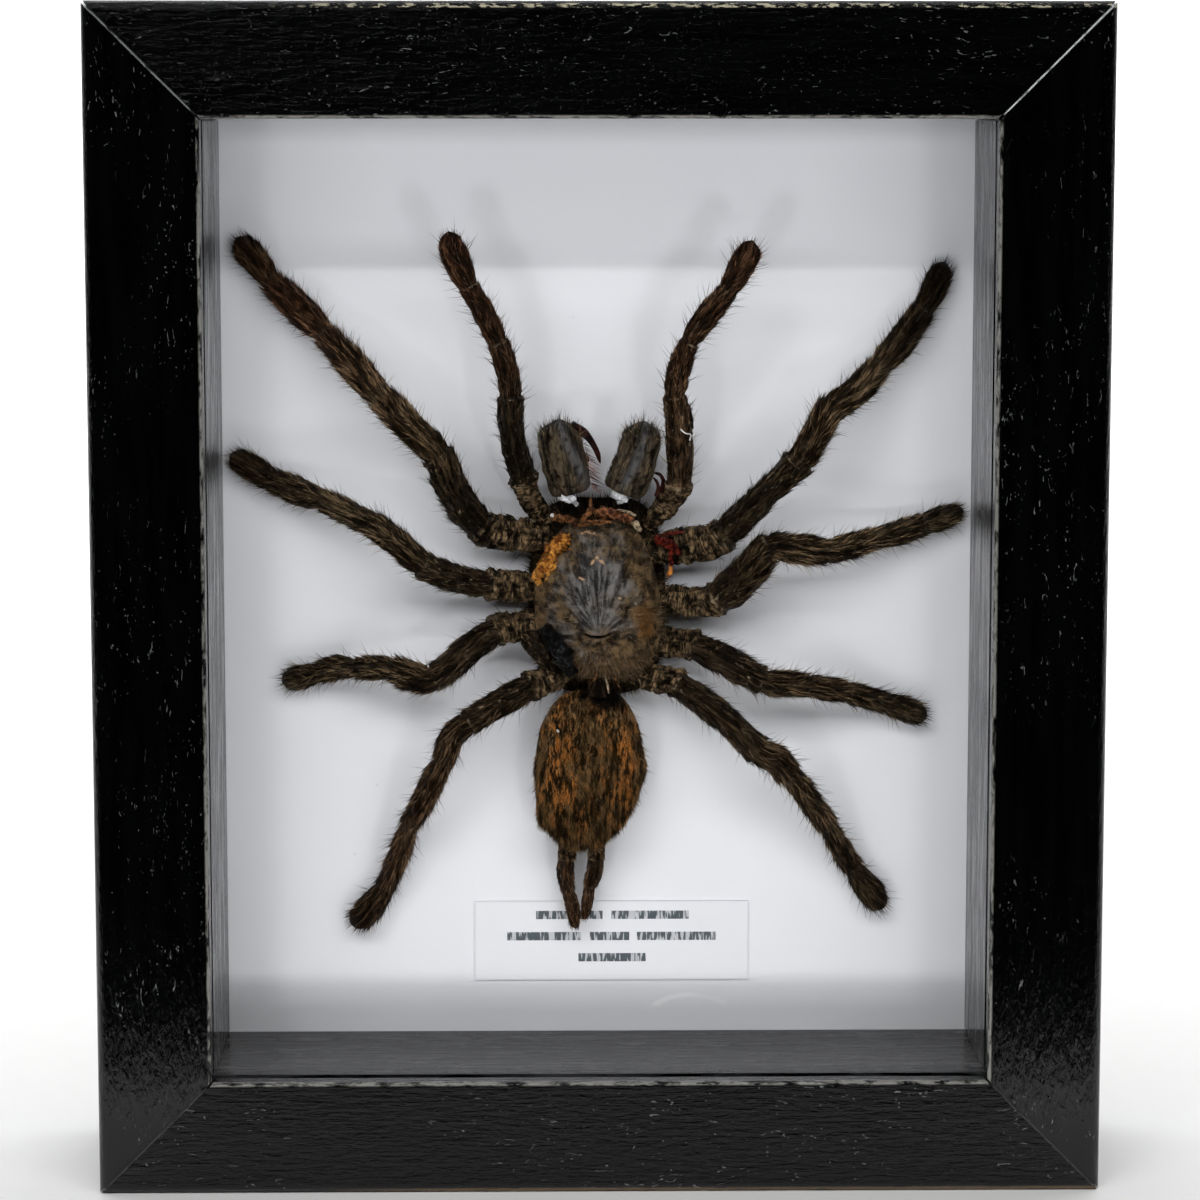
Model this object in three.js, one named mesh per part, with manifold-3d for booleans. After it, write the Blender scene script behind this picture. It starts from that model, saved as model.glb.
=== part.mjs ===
// Framed tarantula: a mounted spider behind glass in a black painted box frame.
// Millimetres, +Z up. The frame stands on its bottom rail and faces -Y. The origin is the centre of
// the bottom of the frame. "Lift" is a height in front of the mount card.
import * as THREE from "three";
import { mergeVertices } from "three/addons/utils/BufferGeometryUtils.js";
import Module from "manifold-3d";

const wasm = await Module();
wasm.setup();

// ---- Driving dimensions, mm ----
const FRAME_WIDTH = 150;
const FRAME_HEIGHT = 177;
const FRAME_DEPTH = 38;
const RAIL_FACE = 17;        // width of a rail, seen from the front
const RABBET = 4;            // step behind the lip that takes the glass, walls and boards
const LIP_DEPTH = 3;         // thickness of the lip in front of the glass
const OUTER_ARRIS = 1.5;     // radius of the rail's outer front edge
const SIGHT_ARRIS = 0.7;     // radius of the edge next to the glass
const FIT_GAP = 0.3;         // clearance between pieces that touch
const MITRE_GAP = 0.25;
const GLASS_THICKNESS = 2;
const CARD_DEPTH = 31.5;     // from the frame's front to the face of the card
const CARD_THICKNESS = 1.5;
const BOARD_THICKNESS = 3;
const LABEL_WIDTH = 43;
const LABEL_HEIGHT = 12.6;
const LABEL_CENTRE = [2.2, 31.5];
const LABEL_THICKNESS = 0.2;
const POINT_SIZE = [6, 10, 0.5];   // width, length and thickness of a framer's point
const POINT_DRIVEN = 4;            // length of a point inside the wood

const FRONT_Y = -FRAME_DEPTH / 2;
const BACK_Y = FRAME_DEPTH / 2;
const CARD_Y = FRONT_Y + CARD_DEPTH;
const GLASS_Y = FRONT_Y + LIP_DEPTH + FIT_GAP;
const WALL_Y = GLASS_Y + GLASS_THICKNESS + FIT_GAP;
const BOARD_Y = CARD_Y + CARD_THICKNESS + FIT_GAP;
const POINT_Y = BOARD_Y + BOARD_THICKNESS + FIT_GAP;
const WALL_THICKNESS = RABBET - FIT_GAP;
const OPENING_WIDTH = FRAME_WIDTH - 2 * RAIL_FACE;
const OPENING_HEIGHT = FRAME_HEIGHT - 2 * RAIL_FACE;
const SHEET_WIDTH = OPENING_WIDTH + 2 * WALL_THICKNESS;
const SHEET_HEIGHT = OPENING_HEIGHT + 2 * WALL_THICKNESS;
const MIDDLE_Z = FRAME_HEIGHT / 2;

// ---- Finishes ----
const finish = (color, roughness, metalness = 0) =>
  new THREE.MeshStandardMaterial({ color, roughness, metalness });
const BLACK_GLOSS = finish(0x0b0c0c, 0.25);
const WHITE_CARD = finish(0xe4e6ea, 0.8);
const LABEL_PAPER = finish(0xf1f2f4, 0.5);
const HARDBOARD = finish(0x7a5a3c, 0.75);
const STEEL = finish(0x9a9ca0, 0.4, 1);
const CARAPACE = finish(0x3a3430, 0.55);
const ABDOMEN = finish(0x3e2416, 0.85);
const LEG_HAIR = finish(0x2c211a, 0.8);
const JAW = finish(0x3b342b, 0.5);
const FANG = finish(0x1c0f0c, 0.25);
const GLASS = new THREE.MeshStandardMaterial({
  color: 0xe8f0ee, roughness: 0.03, metalness: 0, transparent: true, opacity: 0.2,
});

const model = new THREE.Group();

function add(name, geometry, material) {
  geometry.computeVertexNormals();
  const mesh = new THREE.Mesh(geometry, material);
  mesh.name = name;
  model.add(mesh);
}

// ---- Mesh helpers ----
function signedVolume(geometry) {
  const p = geometry.attributes.position;
  const index = geometry.index.array;
  const [a, b, c] = [new THREE.Vector3(), new THREE.Vector3(), new THREE.Vector3()];
  let sum = 0;
  for (let i = 0; i < index.length; i += 3) {
    a.fromBufferAttribute(p, index[i]);
    b.fromBufferAttribute(p, index[i + 1]);
    c.fromBufferAttribute(p, index[i + 2]);
    sum += a.dot(b.cross(c));
  }
  return sum / 6;
}

// Shares the vertices of a closed mesh and turns its faces outwards.
function closed(geometry) {
  geometry.deleteAttribute("normal");
  geometry.deleteAttribute("uv");
  const merged = mergeVertices(geometry, 1e-3);
  if (signedVolume(merged) < 0) {
    const index = merged.index.array;
    for (let i = 0; i < index.length; i += 3) [index[i], index[i + 1]] = [index[i + 1], index[i]];
  }
  return merged;
}

function toSolid(geometry) {
  return new wasm.Manifold(new wasm.Mesh({
    numProp: 3,
    vertProperties: new Float32Array(geometry.attributes.position.array),
    triVerts: new Uint32Array(geometry.index.array),
  }));
}

function toGeometry(solid) {
  const mesh = solid.getMesh();
  const geometry = new THREE.BufferGeometry();
  geometry.setAttribute("position", new THREE.BufferAttribute(mesh.vertProperties, 3));
  geometry.setIndex(new THREE.BufferAttribute(mesh.triVerts, 1));
  return geometry;
}

function cut(geometry, tools) {
  let solid = toSolid(geometry);
  for (const tool of tools) solid = solid.subtract(toSolid(tool));
  return toGeometry(solid);
}

// A flat sheet in the frame's plane, from its front face backwards, with a small chamfer.
function sheet(width, height, thickness, chamfer, frontY, centre = [0, MIDDLE_Z]) {
  const [w, h] = [width / 2 - chamfer, height / 2 - chamfer];
  const outline = new THREE.Shape([
    new THREE.Vector2(-w, -h), new THREE.Vector2(w, -h), new THREE.Vector2(w, h), new THREE.Vector2(-w, h),
  ]);
  const geometry = new THREE.ExtrudeGeometry(outline, {
    depth: thickness - 2 * chamfer, bevelEnabled: chamfer > 0, bevelSegments: 1,
    bevelSize: chamfer, bevelThickness: chamfer,
  });
  geometry.rotateX(Math.PI / 2);
  geometry.translate(centre[0], frontY + thickness - chamfer, centre[1]);
  return closed(geometry);
}

function block(sizeX, sizeY, sizeZ, x, y, z) {
  const geometry = new THREE.BoxGeometry(sizeX, sizeY, sizeZ);
  geometry.translate(x, y, z);
  return closed(geometry);
}

// ---- Frame ----
// The rail's section: across is the distance in from the outer edge, y is the depth.
function railSection() {
  const section = new THREE.Shape();
  section.moveTo(0, BACK_Y);
  section.lineTo(0, FRONT_Y + OUTER_ARRIS);
  section.absarc(OUTER_ARRIS, FRONT_Y + OUTER_ARRIS, OUTER_ARRIS, Math.PI, 1.5 * Math.PI, false);
  section.lineTo(RAIL_FACE - SIGHT_ARRIS, FRONT_Y);
  section.absarc(RAIL_FACE - SIGHT_ARRIS, FRONT_Y + SIGHT_ARRIS, SIGHT_ARRIS, 1.5 * Math.PI, 2 * Math.PI, false);
  section.lineTo(RAIL_FACE, FRONT_Y + LIP_DEPTH);
  section.lineTo(RAIL_FACE - RABBET, FRONT_Y + LIP_DEPTH);
  section.lineTo(RAIL_FACE - RABBET, BACK_Y);
  section.closePath();
  return section;
}

// A rail whose two ends are cut at 45 degrees: each point's length shortens as it lies further in.
function rail(side, span, reach) {
  const geometry = new THREE.ExtrudeGeometry(railSection(), { depth: 1, bevelEnabled: false, curveSegments: 4 });
  const p = geometry.attributes.position;
  for (let i = 0; i < p.count; i++) {
    const [across, y, along] = [p.getX(i), p.getY(i), p.getZ(i) - 0.5];
    const run = along * (span - 2 * across - 2 * MITRE_GAP);
    const out = reach / 2 - across;
    if (side === "top") p.setXYZ(i, run, y, MIDDLE_Z + out);
    if (side === "bottom") p.setXYZ(i, run, y, MIDDLE_Z - out);
    if (side === "left") p.setXYZ(i, -out, y, MIDDLE_Z + run);
    if (side === "right") p.setXYZ(i, out, y, MIDDLE_Z + run);
  }
  return closed(geometry);
}

// Framer's points: flat steel tabs driven into the wood, lying on the back board.
const POINTS = [
  { name: "point_top", rail: "top", at: 0 },
  { name: "point_bottom", rail: "bottom", at: 0 },
  { name: "point_left_upper", rail: "left", at: 42 },
  { name: "point_left_lower", rail: "left", at: -42 },
  { name: "point_right_upper", rail: "right", at: 42 },
  { name: "point_right_lower", rail: "right", at: -42 },
];

function pointBlock(point, grow) {
  const [width, length, thickness] = POINT_SIZE.map((size) => size + 2 * grow);
  const y = POINT_Y + POINT_SIZE[2] / 2;
  const inset = RAIL_FACE - RABBET - POINT_DRIVEN + POINT_SIZE[1] / 2;
  if (point.rail === "top") return block(width, thickness, length, point.at, y, FRAME_HEIGHT - inset);
  if (point.rail === "bottom") return block(width, thickness, length, point.at, y, inset);
  const x = (FRAME_WIDTH / 2 - inset) * (point.rail === "left" ? -1 : 1);
  return block(length, thickness, width, x, y, MIDDLE_Z + point.at);
}

for (const side of ["top", "bottom", "left", "right"]) {
  const upright = side === "left" || side === "right";
  const span = upright ? FRAME_HEIGHT : FRAME_WIDTH;
  const reach = upright ? FRAME_WIDTH : FRAME_HEIGHT;
  const slots = POINTS.filter((point) => point.rail === side).map((point) => pointBlock(point, FIT_GAP));
  add(`rail_${side}`, cut(rail(side, span, reach), slots), BLACK_GLOSS);
}
for (const point of POINTS) add(point.name, pointBlock(point, 0), STEEL);

// ---- Glass, walls and boards ----
add("glass_pane", sheet(SHEET_WIDTH, SHEET_HEIGHT, GLASS_THICKNESS, 0.2, GLASS_Y), GLASS);
const wallDepth = CARD_Y - FIT_GAP - WALL_Y;
const wallY = WALL_Y + wallDepth / 2;
const wallZ = (OPENING_HEIGHT + WALL_THICKNESS) / 2;
const wallX = (OPENING_WIDTH + WALL_THICKNESS) / 2;
const sideHeight = OPENING_HEIGHT - 2 * FIT_GAP;
add("wall_top", block(SHEET_WIDTH, wallDepth, WALL_THICKNESS, 0, wallY, MIDDLE_Z + wallZ), BLACK_GLOSS);
add("wall_bottom", block(SHEET_WIDTH, wallDepth, WALL_THICKNESS, 0, wallY, MIDDLE_Z - wallZ), BLACK_GLOSS);
add("wall_left", block(WALL_THICKNESS, wallDepth, sideHeight, -wallX, wallY, MIDDLE_Z), BLACK_GLOSS);
add("wall_right", block(WALL_THICKNESS, wallDepth, sideHeight, wallX, wallY, MIDDLE_Z), BLACK_GLOSS);
add("mount_card", sheet(SHEET_WIDTH, SHEET_HEIGHT, CARD_THICKNESS, 0, CARD_Y), WHITE_CARD);
add("back_board", sheet(SHEET_WIDTH, SHEET_HEIGHT, BOARD_THICKNESS, 0, BOARD_Y), HARDBOARD);
const labelY = CARD_Y - 0.1 - LABEL_THICKNESS;
add("label", sheet(LABEL_WIDTH, LABEL_HEIGHT, LABEL_THICKNESS, 0, labelY, LABEL_CENTRE), LABEL_PAPER);

// ---- Spider: body ----
// A rounded body: its outline seen from the front, swelling to a top and a bottom around its edge.
const DOME_STEPS = [0.96, 0.84, 0.64, 0.38];
const OUTLINE_POINTS = 32;

function pebble({ outline, centre, edge, top, bottom }, grow = 0) {
  const loop = new THREE.CatmullRomCurve3(outline.map(([x, z]) => new THREE.Vector3(x, 0, z)), true);
  const rim = [];
  for (let i = 0; i < OUTLINE_POINTS; i++) {
    const point = loop.getPoint(i / OUTLINE_POINTS);
    const away = point.clone().sub(new THREE.Vector3(centre[0], 0, centre[1]));
    rim.push(away.setLength(away.length() + grow));
  }
  const rings = [];
  const ring = (scale, lift) => rings.push(rim.map((away) =>
    [centre[0] + away.x * scale, CARD_Y - lift, centre[1] + away.z * scale]));
  const rise = (scale) => Math.sqrt(1 - scale * scale);
  const [up, down] = [top + grow - edge, edge - bottom + grow];
  for (const s of [...DOME_STEPS].reverse()) ring(s, edge + up * rise(s));
  ring(1, edge);
  for (const s of DOME_STEPS) ring(s, edge - down * rise(s));
  return skin(rings, [centre[0], CARD_Y - top - grow, centre[1]],
    [centre[0], CARD_Y - bottom + grow, centre[1]]);
}

// Joins rings of equal length into one closed skin, with a point at each end.
function skin(rings, first, last) {
  const sides = rings[0].length;
  const vertices = [...rings.flat(), first, last].flat();
  const [start, end] = [rings.length * sides, rings.length * sides + 1];
  const faces = [];
  for (let i = 0; i < sides; i++) {
    const next = (i + 1) % sides;
    faces.push(start, next, i);
    for (let r = 0; r + 1 < rings.length; r++) {
      const [a, b] = [r * sides + i, r * sides + next];
      const [c, d] = [a + sides, b + sides];
      faces.push(a, b, c, b, d, c);
    }
    const base = (rings.length - 1) * sides;
    faces.push(end, base + i, base + next);
  }
  const geometry = new THREE.BufferGeometry();
  geometry.setAttribute("position", new THREE.Float32BufferAttribute(vertices, 3));
  geometry.setIndex(faces);
  return closed(geometry);
}

const PROSOMA = {
  outline: [[0.3, 98.6], [4.6, 98.4], [6.6, 96], [8.4, 91], [9.6, 86], [9.4, 81.5], [7.6, 76.8], [4.2, 74.4],
    [0, 74.2], [-4.2, 74.8], [-7.8, 77.6], [-9.6, 82], [-9.8, 87], [-8.6, 91.8], [-6.6, 96], [-4, 98.4]],
  centre: [0, 86.5], edge: 6.4, top: 11.6, bottom: 0.6,
};
const OPISTHOSOMA = {
  outline: [[-1.2, 72.4], [3, 71.6], [5.6, 68.4], [6.9, 63.5], [7.2, 58.5], [5.6, 53.4], [3, 50],
    [-0.6, 48.2], [-4, 47.8], [-7.2, 49.6], [-9.3, 53], [-9.6, 58], [-9.3, 63], [-8, 68.4], [-5, 71.6]],
  centre: [-1.2, 60], edge: 6.6, top: 12.2, bottom: 0.8,
};
add("prosoma", pebble(PROSOMA), CARAPACE);
add("abdomen", pebble(OPISTHOSOMA), ABDOMEN);

// ---- Spider: limbs ----
// A limb is a row of joints with one middle between each pair, from the tip to the body. Every entry
// is [x, z, lift, half width].
const LIMBS = {
  leg_1_left: [
    [-55.2, 141.8, 2.0, 1.1], [-52.8, 139, 2.5, 2.2], [-49.9, 135.2, 2.8, 1.6], [-45.7, 131.1, 4.2, 2.4],
    [-41.6, 127.3, 6.0, 1.7], [-37.4, 122.8, 8.4, 2.4], [-32.9, 118, 10.6, 2.1], [-28.5, 113.6, 12, 2.5],
    [-24.2, 109.3, 12, 2.4], [-22.1, 103.6, 10.2, 2.7], [-18, 98.1, 7.4, 2.6], [-14.5, 96.7, 5.8, 2.8],
    [-10.6, 96.2, 5.4, 2.7]],
  leg_1_right: [
    [53.3, 138, 2.0, 1.1], [52, 134.9, 2.4, 2.0], [49.9, 130.7, 2.8, 1.7], [46.6, 126.1, 4.2, 2.3],
    [42.9, 122.1, 6.0, 1.9], [39.1, 118.4, 8.4, 2.3], [35.5, 116.4, 10.6, 2.2], [33.2, 112.7, 12, 2.3],
    [30.3, 108.1, 12, 2.5], [25.6, 103.3, 10.2, 2.3], [19.3, 96.6, 7.4, 2.7], [14.4, 94.8, 5.8, 2.9],
    [10.3, 94.2, 5.4, 2.7]],
  leg_2_left: [
    [-56.6, 108.5, 1.8, 1.1], [-53.4, 106.6, 2.4, 2.1], [-49.8, 104.4, 2.6, 1.7], [-45.9, 102.9, 4, 2.2],
    [-42.2, 101.8, 5.6, 1.6], [-37.9, 99.9, 7.6, 2.1], [-34.2, 98.4, 9.6, 2.0], [-30.8, 95.9, 10.8, 2.2],
    [-26.7, 92.4, 11, 2.2], [-22.2, 90.3, 9.4, 2.3], [-17.1, 88.9, 7, 2.3], [-14.1, 88.5, 5.8, 2.5],
    [-10.9, 88.4, 5.4, 2.4]],
  leg_2_right: [
    [56.6, 99.7, 1.8, 1.1], [53.6, 98.7, 2.2, 1.9], [50.2, 97.6, 2.6, 1.7], [46, 96.3, 4, 2.0],
    [42.3, 95.6, 5.6, 1.6], [38.4, 94.7, 7.6, 2.1], [34.7, 94.3, 9.6, 1.9], [30.5, 94.8, 10.8, 2.3],
    [26.1, 94.9, 11, 2.2], [23.1, 91.1, 9.4, 2.9], [18.4, 86.7, 7, 2.7], [14.4, 86, 5.8, 2.5],
    [10.3, 86.5, 5.4, 2.3]],
  leg_3_left: [
    [-49, 73.1, 1.8, 0.9], [-46.2, 73.8, 2.3, 2.0], [-43.2, 74.7, 2.6, 1.6], [-40.3, 75.5, 4, 2.0],
    [-37.3, 75.7, 5.4, 1.5], [-34.3, 76, 7.2, 2.0], [-31.5, 76, 8.8, 1.8], [-28.5, 75.2, 9.8, 2.4],
    [-25.1, 74.8, 10, 2.1], [-20.5, 78.5, 8.8, 2.4], [-16, 81.5, 6.8, 2.4], [-13.2, 82.1, 5.8, 2.5],
    [-10.1, 82.5, 5.4, 2.4]],
  leg_3_right: [
    [51.3, 67.3, 1.8, 1.0], [48.2, 68.4, 2.3, 2.0], [44.8, 69.6, 2.6, 1.6], [41.5, 70.8, 4, 1.9],
    [38.2, 71.9, 5.4, 1.6], [35, 72.6, 7.2, 2.0], [31.9, 73.5, 8.8, 1.8], [28.4, 73.9, 9.8, 2.1],
    [25.2, 74.4, 10, 2.0], [20.1, 77, 8.8, 2.5], [15, 79.3, 6.8, 2.4], [12.3, 79.6, 5.8, 2.4],
    [9.6, 79.7, 5.4, 2.3]],
  leg_4_left: [
    [-38.4, 34.4, 1.8, 0.9], [-36.2, 36.7, 2.5, 2.2], [-33.2, 40.7, 2.6, 1.6], [-31.2, 45.7, 4.2, 1.8],
    [-29.1, 51.2, 6, 1.5], [-26.5, 56.5, 8.2, 2.0], [-23.8, 62.1, 10, 1.8], [-22.3, 66, 11, 2.1],
    [-19.9, 68.1, 11, 2.0], [-15.2, 70.8, 9.4, 2.3], [-10.6, 72.9, 7, 2.4], [-8.4, 73.8, 5.8, 2.4],
    [-6.2, 74.8, 5.4, 2.2]],
  leg_4_right: [
    [44.7, 36.9, 1.8, 1.0], [42.9, 39.5, 2.5, 2.2], [40, 43.6, 2.6, 1.6], [37.7, 47.3, 4.2, 1.8],
    [35.6, 50.9, 6, 1.6], [32.6, 55.6, 8.2, 2.0], [29.4, 59.8, 10, 1.9], [27.1, 62.3, 11, 2.3],
    [24.5, 63.7, 11, 2.3], [19.5, 68.3, 9.4, 2.3], [12.5, 73.2, 7, 2.3], [9.9, 73.8, 5.8, 2.3],
    [7.4, 74.4, 5.4, 2.2]],
  pedipalp_left: [
    [-22.5, 143.1, 14, 1.1], [-21.7, 139.9, 14, 2.2], [-19.4, 134.8, 14, 1.5], [-17.4, 131.3, 14, 1.8],
    [-15.1, 126.4, 13.6, 1.7], [-13.7, 122, 13, 1.9], [-13.3, 118.1, 12.4, 1.9], [-13.2, 112.9, 11.2, 2.1],
    [-11.5, 105.4, 8.2, 2.3], [-10.2, 101.9, 6, 2.1], [-8.8, 99.6, 5.2, 1.7]],
  pedipalp_right: [
    [23.1, 141.7, 14, 1.1], [22, 139, 14, 2.1], [19.3, 134.1, 14, 1.6], [16.5, 130.7, 14, 2.0],
    [13.6, 126.4, 13.6, 1.5], [12.2, 122.5, 13, 1.9], [11.6, 118.3, 12.4, 1.8], [12.2, 113.9, 11.2, 2.3],
    [12.4, 104.6, 8.2, 2.2], [10.9, 101.7, 6, 2.1], [9, 99.4, 5.2, 1.7]],
};
const JAWS = {
  chelicera_left: [[-5.9, 114.2, 9.2, 1.4], [-5.6, 111.4, 9.2, 3.4], [-4.9, 107.2, 9.2, 3.9], [-4, 102.6, 8.6, 3.4],
    [-3.4, 99.6, 8, 2.6]],
  chelicera_right: [[6.9, 113.9, 9.2, 1.3], [6.4, 111.3, 9.2, 3.1], [5.2, 107, 9.2, 3.7], [4, 102.6, 8.6, 3.3],
    [3.4, 99.6, 8, 2.6]],
};
const FANGS = {
  fang_left: [[0.2, 107.6, 7.4, 0.15], [-0.4, 110, 7.9, 0.5], [-1.2, 111.6, 8.3, 0.7]],
  fang_right: [[10.9, 105.4, 6.6, 0.15], [10.2, 107.4, 6.9, 0.5], [9.5, 108.8, 7.3, 0.65]],
};
const SPINNERETS = {
  spinneret_left: [[-3.5, 34.2, 3.4, 0.35], [-3.9, 37.6, 3.6, 0.9], [-4.7, 41, 4, 1.1], [-5, 44, 4.4, 1.2],
    [-4.9, 47.2, 4.8, 1.2]],
  spinneret_right: [[-2.1, 35.5, 3.4, 0.35], [-1.4, 39.4, 3.6, 0.8], [-0.9, 42.4, 4, 1.1], [-0.4, 45.2, 4.4, 1.3],
    [-0.3, 47.6, 4.8, 1.3]],
};

const RINGS_PER_ROW = 2;

// A limb's skin: round sections along a smooth line through its rows.
function limb(rows, sides, grow = 0) {
  const line = new THREE.CatmullRomCurve3(rows.map(([x, z, lift]) => new THREE.Vector3(x, CARD_Y - lift, z)));
  const count = (rows.length - 1) * RINGS_PER_ROW;
  const rings = [];
  for (let r = 0; r <= count; r++) {
    const at = r / RINGS_PER_ROW;
    const row = Math.min(Math.floor(at), rows.length - 2);
    const radius = THREE.MathUtils.lerp(rows[row][3], rows[row + 1][3], at - row) + grow;
    const middle = line.getPoint(r / count);
    const along = line.getTangent(r / count);
    const side = new THREE.Vector3(0, -1, 0).cross(along).normalize();
    const front = along.clone().cross(side).normalize();
    const ring = [];
    for (let i = 0; i < sides; i++) {
      const turn = 2 * Math.PI * i / sides;
      const point = middle.clone()
        .addScaledVector(side, radius * Math.cos(turn))
        .addScaledVector(front, radius * Math.sin(turn));
      ring.push(point.toArray());
    }
    rings.push(ring);
  }
  const cap = (t, sign, radius) => line.getPoint(t).addScaledVector(line.getTangent(t), sign * radius).toArray();
  return skin(rings, cap(0, -0.5, rows[0][3] + grow), cap(1, 0.2, rows.at(-1)[3] + grow));
}

const bodySeat = pebble(PROSOMA, FIT_GAP);
const abdomenSeat = pebble(OPISTHOSOMA, FIT_GAP);
const jawSeats = Object.values(JAWS).map((rows) => limb(rows, 10, FIT_GAP));
for (const [name, rows] of Object.entries(LIMBS)) {
  const seats = name.startsWith("pedipalp") ? [bodySeat, ...jawSeats] : [bodySeat, abdomenSeat];
  add(name, cut(limb(rows, 8), seats), LEG_HAIR);
}
for (const [name, rows] of Object.entries(JAWS)) add(name, cut(limb(rows, 10), [bodySeat]), JAW);
for (const [name, rows] of Object.entries(FANGS)) add(name, cut(limb(rows, 6), jawSeats), FANG);
for (const [name, rows] of Object.entries(SPINNERETS)) add(name, cut(limb(rows, 8), [abdomenSeat]), LEG_HAIR);

export default model;
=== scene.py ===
# %% [markdown]
# # A framed tarantula
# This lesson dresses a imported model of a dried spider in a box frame. The model gives every piece its
# place and size; Blender gives the paint, the glass, the card, the cuticle and the hair.

# %% Load the frame
import math
import bpy
import numpy as np
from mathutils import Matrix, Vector, noise


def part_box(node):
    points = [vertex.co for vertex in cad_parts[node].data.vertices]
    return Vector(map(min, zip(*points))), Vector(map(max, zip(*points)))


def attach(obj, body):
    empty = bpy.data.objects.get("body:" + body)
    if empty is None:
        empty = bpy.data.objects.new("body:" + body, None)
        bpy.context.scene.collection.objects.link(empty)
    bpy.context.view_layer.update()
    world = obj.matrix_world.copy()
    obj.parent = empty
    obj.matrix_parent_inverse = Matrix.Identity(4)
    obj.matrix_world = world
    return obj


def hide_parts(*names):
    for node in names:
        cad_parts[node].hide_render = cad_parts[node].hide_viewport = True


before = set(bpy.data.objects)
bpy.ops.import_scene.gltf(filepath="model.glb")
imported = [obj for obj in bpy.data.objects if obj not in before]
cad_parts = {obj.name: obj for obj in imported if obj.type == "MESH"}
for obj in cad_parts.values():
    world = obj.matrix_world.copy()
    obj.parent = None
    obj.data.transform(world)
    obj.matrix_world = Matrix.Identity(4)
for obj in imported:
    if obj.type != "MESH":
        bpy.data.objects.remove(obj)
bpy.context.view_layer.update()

MM = 0.001

# %% [markdown]
# The sizes that the pieces share are read from the model. The card's face is where every height of the
# spider is measured from: "lift" is a height in front of that face, towards the glass.

# %% Sizes read from the model
CARD_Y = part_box("mount_card")[0].y / MM
FRONT_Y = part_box("rail_top")[0].y / MM
MIDDLE_Z = (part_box("mount_card")[0].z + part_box("mount_card")[1].z) / 2 / MM
RAIL_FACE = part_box("rail_bottom")[1].z / MM
HALF_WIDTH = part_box("rail_right")[1].x / MM
HALF_HEIGHT = MIDDLE_Z
SIGHT_X = HALF_WIDTH - RAIL_FACE
SIGHT_Z = HALF_HEIGHT - RAIL_FACE
print("card face", CARD_Y, "front", FRONT_Y, "opening", SIGHT_X * 2, SIGHT_Z * 2)


# %% [markdown]
# ## Camera
# The eye is half a metre in front of the frame, a little above its middle, so that the bottom wall of
# the box shows and the top wall doesn't. The camera looks slightly down, and a small shift keeps the
# upright lines of the frame nearly parallel.

# %% Camera
EYE = Vector((-7, FRONT_Y - 520, 160.5))
TILT_DOWN = 6.71
TURN = -0.77
FOCAL_LENGTH = 107.1
LENS_SHIFT = -0.054

camera_data = bpy.data.cameras.new("camera")
camera_data.lens = FOCAL_LENGTH
camera_data.shift_y = LENS_SHIFT
camera_data.clip_start, camera_data.clip_end = 0.01, 20
camera = bpy.data.objects.new("camera", camera_data)
camera.location = EYE * MM
camera.rotation_euler = (math.radians(90 - TILT_DOWN), 0, math.radians(TURN))
bpy.context.scene.collection.objects.link(camera)
bpy.context.scene.camera = camera
bpy.context.scene.view_settings.view_transform = "Standard"


# %% [markdown]
# ## Light
# A long thin strip above the camera throws the sharp edge of the top rail's shadow. Two narrow strips
# near the glass, one high and one low, light the card evenly; the low one leaves the foot of the card in
# the shadow of the bottom rail. Two small low lamps throw the faint shadows that rise from the limbs.
# These lamps are kept out of reflections and out of the glass. Only "glint", which gives the spider its
# highlights, and "behind", which whitens the backdrop, are mirrored.

# %% Lights
def area_light(name, place, size, watts, aim=(0, 0, 95), color=(1, 1, 1), mirrored=True):
    data = bpy.data.lights.new(name, "AREA")
    data.shape = "RECTANGLE"
    data.size, data.size_y = size[0] * MM, size[1] * MM
    data.energy = watts
    data.color = color
    light = bpy.data.objects.new(name, data)
    light.location = Vector(place) * MM
    light.rotation_euler = (Vector(place) - Vector(aim)).to_track_quat("Z", "Y").to_euler()
    light.visible_camera = False
    light.visible_glossy = mirrored
    light.visible_transmission = mirrored
    data.cycles.use_multiple_importance_sampling = mirrored
    bpy.context.scene.collection.objects.link(light)


def hidden_light(name, place, size, watts, aim, color=(1, 1, 1)):
    area_light(name, place, size, watts, aim=aim, color=color, mirrored=False)


hidden_light("strip_above", (0, -748, 700), (1500, 24), 3.1, aim=(0, 0, 130), color=(1, 0.99, 0.96))
hidden_light("high_strip", (0, -150, 159), (330, 36), 0.235, aim=(0, 12, 130))
hidden_light("low_left", (-150, -400, -48), (50, 50), 0.205, aim=(0, 12, 100))
hidden_light("low_right", (150, -400, -48), (50, 50), 0.205, aim=(0, 12, 100))
hidden_light("low_strip", (0, -74, 1.5), (340, 6), 0.095, aim=(0, 12, 70), color=(1, 0.99, 0.97))
area_light("glint", (-260, -640, 640), (90, 90), 0.42)
area_light("behind", (0, 350, 1100), (2600, 500), 60, aim=(0, 1700, 500))


# %% [markdown]
# ## Node helpers
# Materials are built from small nodes. These helpers add a node, set or join its inputs by name, and
# give back the output that the next node needs.

# %% Node helpers
def feed(tree, node, inputs):
    for name, value in inputs.items():
        if isinstance(value, bpy.types.NodeSocket):
            tree.links.new(value, node.inputs[name])
        else:
            node.inputs[name].default_value = value


def put(tree, kind, inputs=None, **settings):
    node = tree.nodes.new(kind)
    for name, value in settings.items():
        setattr(node, name, value)
    feed(tree, node, inputs or {})
    return node


def calc(tree, operation, first, second=0.0, clamp=False):
    return put(tree, "ShaderNodeMath", {0: first, 1: second}, operation=operation,
               use_clamp=clamp).outputs[0]


def product(tree, *factors):
    result = factors[0]
    for factor in factors[1:]:
        result = calc(tree, "MULTIPLY", result, factor)
    return result


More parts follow.
